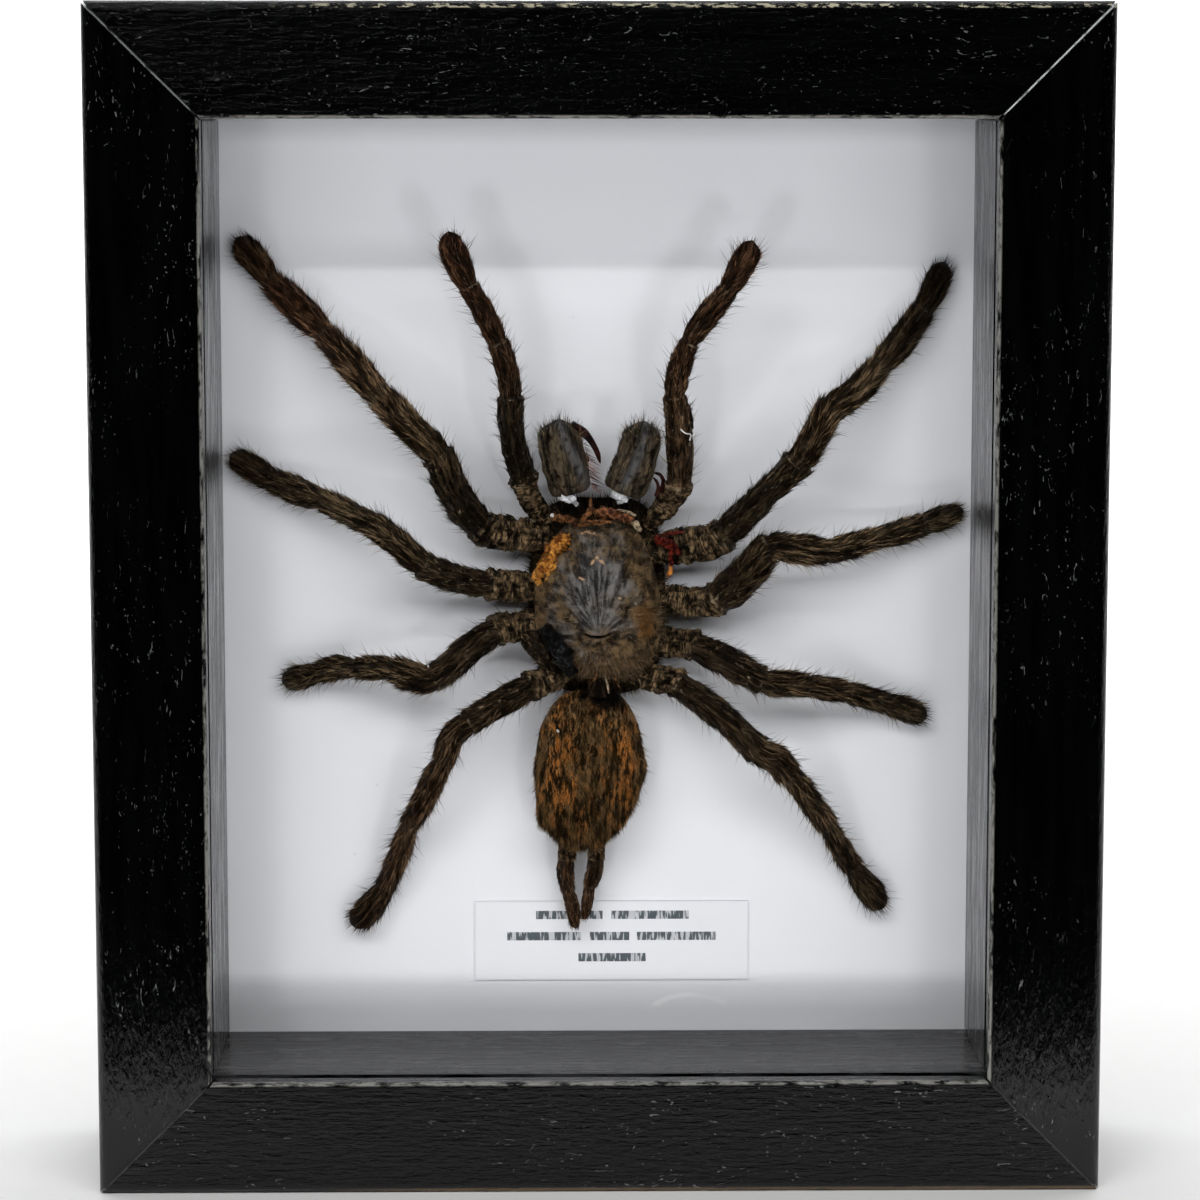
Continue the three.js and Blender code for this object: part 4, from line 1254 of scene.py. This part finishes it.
# %% Carapace hair
def add_fields(piece, comb, shade=0.6, red=0.0, swirl=0.3):
    """Gives a shell the fields that hair and cuticle read. comb gives a direction for each place."""
    places = places_of(piece)
    combs = []
    for x, y, z in places:
        way = Vector(comb(x, z)) + Vector((1, 0, 0)) * swirl * fractal(x * 0.5, y * 0.5, z * 0.3)
        combs.append(way.normalized())
    write(piece, "lie", places * 1.2)
    write(piece, "comb", combs)
    for label, value in {"joint": 0, "hip": 0, "thigh": 0, "crease": 0, "red": red, "shade": shade}.items():
        write(piece, label, [value] * len(places))


COMB_CENTRE_Z = 84


def outwards(x, z):
    away = Vector((x, 0, z - COMB_CENTRE_Z))
    return away.normalized() if away.length > 0.1 else (0, 0, -1)


GOLD_HAIR = hair_material("gold_hair", color(0.014, 0.009, 0.005), color(0.085, 0.053, 0.028),
                          color(0.30, 0.20, 0.115))
add_fields(carapace, outwards, shade=0.9)
set_fur(carapace, np.clip(read(carapace, "gold") + 0.06, 0, 1))
shield_hair = grow_hair("shield_hair", carapace, density=14.0, length=1.5, thickness=0.034, lean=0.86,
                        spread=0.2, seed=401, material=GOLD_HAIR)


# %% [markdown]
# Below the shield the bases of the legs and the breast plate make one dark hairy mass, which shows
# between the legs. Brown strands and two small skins, painted white as glints on a wet membrane, lie
# between the shield and the jaws, a torn red skin at the right front leg, and two black folded flaps at
# the left back margin.

# %% Breast, brow, skins and flaps
BREAST_OUTLINE = [(0, 102.0), (5, 101.8), (8.0, 99.8), (9.6, 95.5), (10.4, 89), (10.4, 82.6),
                  (9.4, 76.4), (6.8, 72.4), (0.5, 71.2), (-6.4, 72.6), (-9.2, 76.4), (-10.5, 82.6),
                  (-10.7, 89), (-9.8, 95.5), (-8.2, 99.8), (-5, 101.8)]


def breast_height(x, z, fraction):
    lumps = 0.6 * fractal(x * 0.6, z * 0.6, 6.0) + 0.2 * fractal(x * 2.4, z * 2.4, 7.0)
    return 3.8 + 2.6 * (1 - fraction ** 3) + lumps


def worn_skin(name, dark, pale, rough, scale=900.0):
    made, tree, shader = material(name)
    mottle = grain_noise(tree, object_place(tree), scale, detail=5, roughness=0.65)
    base = blend(tree, rise(tree, mottle, 0.38, 0.66), color(*dark), color(*pale))
    feed(tree, shader, {"Base Color": base, "Roughness": rough, "Normal": relief(tree, mottle, 0.8, 0.15)})
    return made


def glinting_skin(name):
    """Black and wet-looking, with a net of small pale glints."""
    made, tree, shader = material(name)
    net = grain_noise(tree, object_place(tree), 1100.0, detail=6, roughness=0.75, distortion=1.2)
    base = blend(tree, rise(tree, net, 0.57, 0.66), color(0.0006, 0.0006, 0.0006), color(0.11, 0.13, 0.145))
    feed(tree, shader, {"Base Color": base, "Roughness": 0.3, "Normal": relief(tree, net, 1.0, 0.25)})
    return made


DARK_CUTICLE = cuticle("dark_cuticle", pale=color(0.05, 0.032, 0.018), pale_share=0.8)
SKINS = {
    "strand": worn_skin("strand_skin", (0.012, 0.004, 0.002), (0.25, 0.105, 0.036), 0.45, scale=1400.0),
    "brow": worn_skin("brow_skin", (0.020, 0.006, 0.003), (0.37, 0.145, 0.062), 0.35, scale=1300.0),
    "tan": worn_skin("tan_skin", (0.08, 0.055, 0.032), (0.45, 0.36, 0.24), 0.5, scale=1400.0),
    # Painted glints: this skin is coloured near white to stand in for highlights on a wet membrane.
    "painted_glint": worn_skin("painted_glint_skin", (0.30, 0.31, 0.32), (0.95, 0.96, 0.97), 0.10, scale=520.0),
    "red": worn_skin("red_skin", (0.004, 0.0008, 0.0006), (0.16, 0.017, 0.009), 0.3, scale=1500.0),
    "amber": worn_skin("amber_skin", (0.10, 0.02, 0.003), (0.60, 0.24, 0.05), 0.3),
    "crust": worn_skin("crust_skin", (0.10, 0.024, 0.003), (0.70, 0.31, 0.055), 0.5, scale=1100.0),
    "flap": glinting_skin("flap_skin"),
    "lint": worn_skin("lint_fibre", (0.5, 0.5, 0.48), (0.88, 0.87, 0.84), 0.7),
    "dark": DARK_CUTICLE,
}

breast = shell("breast", BREAST_OUTLINE, (0, 87), breast_height, 0.6, DARK_CUTICLE, {}, top_rings=24,
               sides=120)
add_fields(breast, outwards, shade=0.3)
set_fur(breast)
breast_hair = grow_hair("breast_hair", breast, density=7.0, length=1.8, thickness=0.05, lean=0.7, spread=0.2,
                        seed=402)

SMALL_SKINS = {
    "brow_left": ("strand", 1.0, [(-7.0, 99.9, 8.6, 0.3), (-5.9, 99.3, 9.0, 0.42), (-4.7, 99.3, 9.3, 0.5),
                                  (-3.6, 98.8, 9.6, 0.42), (-2.6, 98.4, 9.9, 0.2)]),
    "brow_fold": ("strand", 0.8, [(-2.6, 98.9, 9.6, 0.2), (-1.7, 99.9, 9.8, 0.4), (-0.9, 100.6, 9.4, 0.3),
                                  (-0.2, 99.7, 9.4, 0.2)]),
    "brow_right": ("brow", 1.3, [(-0.3, 99.9, 9.2, 0.3), (0.8, 100.4, 9.4, 0.72), (2.2, 100.1, 9.5, 0.62),
                                  (3.7, 99.6, 9.2, 0.45), (5.4, 98.6, 8.7, 0.25)]),
    "brow_end": ("tan", 0.4, [(5.0, 99.0, 9.0, 0.2), (5.8, 98.3, 9.0, 0.42), (6.4, 97.4, 8.9, 0.2)]),
    # Two small skins below the jaws, painted white as glints on a wet membrane.
    "jaw_glint_skin_left": ("painted_glint", 0.3, [(-5.8, 102.9, 8.2, 0.3), (-4.8, 102.9, 9.6, 0.85),
                                   (-3.9, 102.2, 9.6, 0.7), (-3.3, 101.4, 8.8, 0.3)]),
    "jaw_glint_skin_right": ("painted_glint", 0.3, [(2.3, 103.2, 8.4, 0.3), (3.3, 103.0, 9.6, 0.85), (4.0, 102.4, 9.6, 0.7),
                                    (3.0, 101.8, 9.0, 0.3)]),
    "torn_blob": ("red", 1.3, [(8.8, 96.3, 8.6, 0.25), (10.1, 95.8, 9.1, 0.62), (11.4, 94.9, 9.1, 0.5),
                               (12.2, 93.9, 8.5, 0.2)]),
    "torn_edge": ("red", 0.35, [(9.6, 96.7, 8.4, 0.14), (11.4, 97.0, 8.5, 0.2), (13.2, 97.2, 8.3, 0.1)]),
    "torn_strand": ("red", 0.6, [(11.2, 94.8, 9.0, 0.28), (11.0, 93.2, 9.1, 0.3), (11.3, 91.9, 8.8, 0.2)]),
    "torn_end": ("amber", 0.3, [(11.2, 92.2, 8.9, 0.18), (11.0, 91.0, 8.6, 0.36), (10.8, 90.2, 8.0, 0.2)]),
    "crust_upper": ("crust", 1.6, [(-4.7, 96.4, 9.6, 0.3), (-5.8, 95.6, 10.1, 0.9), (-7.0, 94.4, 9.9, 0.75),
                                   (-7.2, 93.2, 9.7, 0.55)]),
    "crust_lower": ("crust", 1.6, [(-7.1, 93.6, 9.6, 0.45), (-7.9, 92.3, 9.4, 0.8), (-8.9, 91.0, 8.8, 0.55),
                                   (-9.5, 89.9, 8.0, 0.22)]),
    "flap_dark": ("flap", 0.6, [(-8.2, 82.8, 9.2, 0.6), (-7.0, 80.6, 10.1, 1.35), (-5.5, 78.2, 10.2, 1.6),
                                (-3.9, 75.4, 9.2, 0.9)]),
    "flap_grey": ("dark", 0.6, [(-11.2, 81.4, 7.2, 0.7), (-9.9, 79.6, 8.0, 1.4), (-8.6, 77.8, 8.0, 1.3),
                                (-7.0, 75.6, 7.2, 0.7)]),
    "bead": ("lint", 0.1, [(-7.1, 100.1, 9.3, 0.12), (-7.0, 99.9, 9.5, 0.24), (-6.9, 99.7, 9.3, 0.12)]),
    "brow_rise": ("strand", 0.5, [(-1.5, 100.4, 9.0, 0.18), (-1.1, 101.4, 9.4, 0.30),
                                  (-1.2, 102.4, 8.9, 0.12)]),
    "brow_low": ("strand", 0.6, [(-3.6, 98.4, 9.9, 0.12), (-1.9, 98.7, 10.1, 0.30), (0.3, 98.9, 10.0, 0.34),
                                 (2.0, 98.8, 9.8, 0.16)]),
    "brow_thread": ("tan", 0.3, [(2.8, 100.6, 9.0, 0.10), (4.3, 100.4, 9.3, 0.16), (5.6, 99.8, 8.9, 0.10)]),
}


def crumble(piece, size, depth):
    """Pushes a skin in and out by noise, so that it looks torn or crusty."""
    for vertex in piece.data.vertices:
        place = vertex.co / MM / size
        vertex.co += vertex.normal * fractal(*place) * depth * MM
    piece.data.update()


small_skins = []
for i, (name, (finish, roughness, rows)) in enumerate(SMALL_SKINS.items()):
    skin = thin_skin(name, rows, SKINS[finish], 36, ridge=0.22, crook=1.1, seed=50 + 9 * i)
    crumble(skin, 0.8, roughness * 0.55)
    small_skins.append(skin)
    if finish == "dark":
        set_fur(skin)
        small_skins.append(grow_hair(name + "_hair", skin, density=9.0, length=1.1, thickness=0.04, lean=0.8,
                                     spread=0.3, seed=430 + i))
shield_pieces = [(piece, "prosoma") for piece in (carapace, shield_hair, breast, breast_hair, *small_skins)]


# %% [markdown]
# ## Abdomen
# A shrunken egg of skin under matted hair. Its folds and hair run lengthwise, and the hair is rusty in
# two broad bands, and painted nearly black as shade where the waist joins.

# %% Abdomen
ABDOMEN_OUTLINE = [(-1.2, 72.6), (3, 71.8), (5.6, 68.4), (6.6, 64), (7.3, 60.4), (6.3, 56.6),
                   (4.4, 52.3), (1.6, 49.4), (-1.6, 47.8), (-4.2, 48.0), (-7.0, 49.8), (-9.2, 52.4),
                   (-9.5, 57), (-9.5, 62), (-8.6, 67), (-5.6, 71.4)]
ABDOMEN_CENTRE = (-1.2, 60)


def abdomen_height(x, z, fraction):
    dome = 6.2 + 5.0 * (1 - fraction ** 2.4) ** 0.62
    folds = 0.5 * fractal(x * 0.75, z * 0.16, 3.0) + 0.28 * fractal(x * 2.2, z * 0.6, 4.0)
    return dome + folds * min(1, 0.35 + (1 - fraction) * 3)


def band_mark(x, z):
    left = bump(x, -6.0 + ragged(x, z, 5, 1.8), 1.5) * soft(abs(z - 62.5), 9.5, 6)
    right = bump(x, 4.1 + ragged(x, z, 5, 1.8), 1.6) * soft(abs(z - 60.5), 6.5, 5)
    low = bump(x, -2.4, 1.0) * bump(z, 53.5, 2.2) + bump(x, 1.8, 1.0) * bump(z, 54.5, 2.0)
    return float(np.clip(max(left, right, 0.7 * low, 0.06) + 0.75 * fractal(x * 0.6, z * 0.34, 9.0), 0, 1))


# Where painted shade falls on the abdomen, next to the waist.
def painted_waist_shade_mark(x, z):
    return soft(math.hypot(x - 1, (z - 73.4) * 1.1) + ragged(x, z, 1.5, 1.5), 4.6, 3.4)


def fibre_material(name, hair):
    """Matted lengthwise fibres; on hair the fibres are single spikes with their own tone."""
    made, tree, shader = material(name)
    warp = grain_noise(tree, object_place(tree), 420.0, detail=2)
    fibres = stretched(tree, object_place(tree), (2100, 620, 560))
    shift = put(tree, "ShaderNodeCombineXYZ", {"X": warp}).outputs[0]
    fibres = put(tree, "ShaderNodeVectorMath", {0: fibres, 1: shift}, operation="ADD").outputs[0]
    streaks = use_group(tree, STREAKS, {"Place": fibres, "Fine": 1.0, "Contrast": 0.12})
    tone = streaks.outputs["Fine"]
    if hair:
        clumps = stretched(tree, object_place(tree), (1250, 460, 330))
        tuft = rise(tree, grain_noise(tree, clumps, 1.0, detail=4, roughness=0.6), 0.42, 0.58)
        tone = total(tree, product(tree, attribute(tree, "tone"), 0.4), product(tree, tuft, 0.6))
    base = blend(tree, rise(tree, tone, 0.12, 0.72), color(0.006, 0.0036, 0.0016),
                 color(0.105, 0.060, 0.022))
    base = blend(tree, rise(tree, tone, 0.80, 0.95), base, color(0.19, 0.120, 0.058))
    rusty = blend(tree, rise(tree, tone, 0.50, 0.92), color(0.080, 0.029, 0.007), color(0.49, 0.195, 0.043))
    band = product(tree, attribute(tree, "band"), rise(tree, tone, 0.36, 0.60))
    base = blend(tree, band, base, rusty)
    # Painted shade: skin and hair are near black where the abdomen meets the waist.
    base = blend(tree, attribute(tree, "waist"), base, color(0.002, 0.0015, 0.001))
    feed(tree, shader, {"Base Color": base, "Roughness": 0.55, "Specular IOR Level": 0.2})
    if not hair:
        feed(tree, shader, {"Normal": relief(tree, streaks.outputs["Fine"], 0.9, 0.2)})
    return made


abdomen = shell("abdomen_skin", ABDOMEN_OUTLINE, ABDOMEN_CENTRE, abdomen_height, 0.8,
                fibre_material("abdomen_skin", False), {"band": band_mark, "waist": painted_waist_shade_mark},
                top_rings=70, sides=160)
add_fields(abdomen, lambda x, z: (0, 0, -1), swirl=0.7)
set_fur(abdomen)
abdomen_coat = grow_hair("abdomen_coat", abdomen, density=24.0, length=1.5, thickness=0.065, lean=0.82,
                         spread=0.22, seed=501, material=fibre_material("abdomen_hair", True))
abdomen_bristles = grow_hair("abdomen_bristles", abdomen, density=0.5, length=2.6, thickness=0.045,
                             lean=0.5, spread=0.3, bend=0.2, segments=2, seed=502)
WAIST = [(0.6, 75.4, 6.6, 1.3), (0.5, 73.8, 6.6, 1.5), (0.4, 71.4, 6.8, 1.7)]
WAIST_STRANDS = [[(1.0, 75.2, 9.0, 0.10), (1.4, 73.7, 9.2, 0.18), (1.6, 72.4, 8.8, 0.08)],
                 [(2.4, 75.0, 8.6, 0.08), (2.9, 73.9, 8.8, 0.13), (3.4, 72.8, 8.3, 0.06)],
                 [(-0.2, 75.3, 8.8, 0.08), (-0.6, 74.4, 8.9, 0.12), (-1.2, 73.7, 8.4, 0.06)]]
SPECK = [(-6.3, 66.7, 9.3, 0.1), (-6.2, 66.5, 9.6, 0.2), (-6.0, 66.3, 9.3, 0.1)]
LINT = [(12.4, 113.4, 13.5, 0.05), (13.1, 112.8, 13.9, 0.08), (13.9, 112.6, 13.8, 0.08),
        (13.8, 111.7, 13.4, 0.05)]
waist = thin_skin("waist", WAIST, DARK_CUTICLE, 24, seed=80)
strands = [thin_skin(f"waist_strand_{i}", rows, SKINS["strand" if i else "tan"], 16, seed=85 + i)
           for i, rows in enumerate(WAIST_STRANDS)]
speck = thin_skin("abdomen_speck", SPECK, SKINS["lint"], 12, ridge=0.1, crook=0.4, seed=89)
lint = thin_skin("palp_lint", LINT, SKINS["lint"], 12, ridge=0.1, crook=0.3, seed=95)
abdomen_parts = (abdomen, abdomen_coat, abdomen_bristles, waist, speck, *strands)
abdomen_pieces = [(piece, "abdomen") for piece in abdomen_parts] + [(lint, "pedipalp_right")]


# %% [markdown]
# ## Jaws and fangs
# The two jaws are blunt ridged clubs with short hair, a bare, smoother stripe painted pale grey as a
# sheen, and a tuft of longer hair at the tip. The stripe and the tuft fade in between two heights. A fang
# folds out of the left one like a blade, with a row of pale bristles behind it, and two small dark hooks
# show beside the right one.

# %% Jaws
JAWS = {
    "chelicera_left": [(-6.0, 114.4, 9.2, 1.8), (-5.8, 111.4, 9.2, 3.5), (-5.0, 107.6, 9.2, 3.8),
                       (-4.4, 104.6, 8.8, 3.4), (-4.1, 103.3, 8.7, 2.8)],
    "chelicera_right": [(7.0, 114.1, 9.2, 1.8), (6.6, 111.3, 9.2, 3.2), (5.4, 107.3, 9.2, 3.5),
                        (4.2, 104.6, 8.8, 3.4), (3.7, 103.4, 8.7, 2.9)],
}
# Each bare stripe is painted pale grey as a sheen: centre, width and slant across the jaw.
BARE_PAINTED_SHEEN_STRIPES = {"chelicera_left": (0.5, 0.2, -0.07), "chelicera_right": (0.0, 0.2, 0.03)}
JAW_MIDDLE_Z = 108
STRIPE_STARTS = (103, 106)
TUFT_STARTS = (109, 113)
FANG_LEFT = [(0.35, 107.7, 8.4, 0.05), (-0.35, 109.9, 8.8, 0.45), (-1.9, 112.2, 9.4, 0.7),
             (-4.2, 113.6, 9.8, 0.9)]
HOOKS_RIGHT = [[(8.5, 106.3, 8.4, 0.05), (9.5, 105.9, 8.2, 0.28), (10.0, 104.8, 8.0, 0.36),
                (9.7, 103.2, 7.6, 0.4)],
               [(8.4, 105.6, 8.6, 0.05), (9.0, 104.8, 8.5, 0.25), (9.2, 103.8, 8.2, 0.32),
                (8.9, 102.6, 7.8, 0.35)]]


def jaw_material():
    made, tree, shader = material("jaw_cuticle")
    lie = attribute(tree, "lie", "Vector")
    broad = grain_noise(tree, stretched(tree, lie, (1.7, 1.7, 0.09)), 1.5, detail=3)
    fine = grain_noise(tree, stretched(tree, lie, (4.0, 4.0, 0.35)), 1.6, detail=5, roughness=0.7)
    streak = calc(tree, "MULTIPLY", rise(tree, broad, 0.36, 0.6),
                  total(tree, rise(tree, fine, 0.3, 0.65), 0.15), clamp=True)
    base = blend(tree, streak, color(0.005, 0.0038, 0.0028), color(0.090, 0.068, 0.042))
    # Painted sheen: the bare stripe, where no hair grows, is painted pale grey.
    bare = calc(tree, "MULTIPLY", attribute(tree, "bare"), total(tree, product(tree, fine, 0.6), 0.5),
                clamp=True)
    base = blend(tree, bare, base, color(0.085, 0.085, 0.088))
    # Painted shade: the creases, where the skin dents in, are painted near black.
    base = blend(tree, product(tree, attribute(tree, "crease"), 0.85), base, color(0.0015, 0.0012, 0.001))
    rough = minus(tree, 0.5, product(tree, attribute(tree, "bare"), 0.16))
    feed(tree, shader, {"Base Color": base, "Roughness": rough, "Specular IOR Level": 0.35,
                        "Normal": relief(tree, total(tree, fine, broad), 0.8, 0.14)})
    return made


def mark_bare_painted_sheen_stripe(skin, rows, centre, width, slant):
    """A bare stripe, painted pale grey as a sheen, at a share of the jaw's half width from its middle
    line, slanted along the jaw.
    """
    places = places_of(skin)
    heights = [row[1] for row in rows][::-1]
    middle = np.interp(places[:, 2], heights, [row[0] for row in rows][::-1])
    half = np.interp(places[:, 2], heights, [row[3] for row in rows][::-1])
    across = (places[:, 0] - middle) / half
    fade = ramp(places[:, 2], *STRIPE_STARTS)
    write(skin, "bare", bump(across, centre + slant * (places[:, 2] - JAW_MIDDLE_Z), width) * fade)


JAW_CUTICLE = jaw_material()
FANG_HORN = worn_skin("fang_horn", (0.004, 0.002, 0.002), (0.035, 0.010, 0.007), 0.18)
PALE_BRISTLE = hair_material("pale_bristle", color(0.05, 0.022, 0.020), color(0.15, 0.08, 0.072),
                             color(0.42, 0.30, 0.27))

jaw_pieces = []
for number, (jaw, rows) in enumerate(JAWS.items()):
    skin = limb_skin(jaw + "_skin", rows, JAW_CUTICLE, ridge=0.09, crook=0.12, seed=90 + 5 * number,
                     sleeve=0)
    mark_bare_painted_sheen_stripe(skin, rows, *BARE_PAINTED_SHEEN_STRIPES[jaw])
    set_fur(skin, np.clip(1 - read(skin, "bare") * 1.5, 0, 1))
    coat = grow_hair(jaw + "_coat", skin, density=4.5, length=1.1, thickness=0.036, lean=0.88, spread=0.10,
                     seed=600 + number)
    set_fur(skin, ramp(places_of(skin)[:, 2], *TUFT_STARTS))
    tuft = grow_hair(jaw + "_tuft", skin, density=2.2, length=2.4, thickness=0.038, lean=0.5, spread=0.3,
                     bend=0.2, segments=2, seed=620 + number)
    jaw_pieces += [(skin, jaw), (coat, jaw), (tuft, jaw)]


# %% Fangs and bristles
fang = thin_skin("fang_blade", FANG_LEFT, FANG_HORN, 20, ridge=0.02, crook=0)
hooks = [thin_skin(f"fang_hook_{i}", rows, FANG_HORN, 16, ridge=0.02, crook=0)
         for i, rows in enumerate(HOOKS_RIGHT)]


def bristle_row():
    """A narrow strip along the jaw's inner edge that only serves to grow the row of bristles."""
    low, high = Vector((-0.9, CARD_Y - 10.2, 103.8)), Vector((-2.4, CARD_Y - 10.6, 111.0))
    slope = Vector((0.3, 0.25, 0.05))
    corners = [tuple(c) for c in (low, high, high + slope, low + slope)]
    fields = {"comb": [(0.86, -0.1, -0.45)] * 4, "fur": [1.0] * 4, "shade": [1.0] * 4, "red": [0.2] * 4,
              "lie": [tuple(c) for c in (low, high, high, low)]}
    strip = mesh_object("bristle_bed", corners, [(0, 1, 2, 3)], None, fields)
    bristles = grow_hair("fang_bristles", strip, density=18.0, length=2.9, thickness=0.07, lean=0.97,
                         spread=0.16, bend=0.15, segments=2, seed=77, material=PALE_BRISTLE)
    bpy.data.objects.remove(strip)
    return bristles


jaw_pieces += [(fang, "fang_left"), (bristle_row(), "fang_left")] + [(hook, "fang_right") for hook in hooks]


# %% [markdown]
# ## Spinnerets
# Two jointed finger-like spinning organs trail behind the abdomen over the label.

# %% Spinnerets
SPINNERETS = {
    "spinneret_left": [(-3.5, 34.2, 3.4, 0.5), (-3.9, 37.4, 3.6, 1.2), (-4.6, 40.3, 4, 1.05),
                       (-5.1, 43.4, 4.4, 1.4), (-4.9, 45.6, 4.6, 1.25), (-4.9, 47.4, 4.9, 1.35),
                       (-4.8, 49.4, 5.6, 1.3)],
    "spinneret_right": [(-2.1, 35.6, 3.4, 0.45), (-1.6, 38.6, 3.6, 1.0), (-1.2, 41, 4, 0.9),
                        (-0.5, 43.4, 4.4, 1.4), (-0.3, 45.6, 4.6, 1.3), (-0.3, 47.6, 4.9, 1.4),
                        (-0.6, 49.6, 5.6, 1.3)],
}
spinneret_pieces = []
for number, (organ, rows) in enumerate(SPINNERETS.items()):
    skin = limb_skin(organ + "_skin", rows, LIMB_CUTICLE, allowance=0.12, sides=28, seed=120 + 5 * number,
                     shades=[(0.9, 0.6), (0.8, 0.6), (0.9, 0.7)])
    set_fur(skin)
    coat = grow_hair(organ + "_coat", skin, density=14.0, length=0.9, thickness=0.045, lean=0.84,
                     spread=0.12, seed=700 + number)
    spinneret_pieces += [(skin, organ), (coat, organ)]


# %% Ride and finish
pieces += shield_pieces + abdomen_pieces + jaw_pieces + spinneret_pieces
for slab in fillers:
    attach(slab, "root")
for piece, node in pieces:
    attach(piece, "root")
    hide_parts(node)
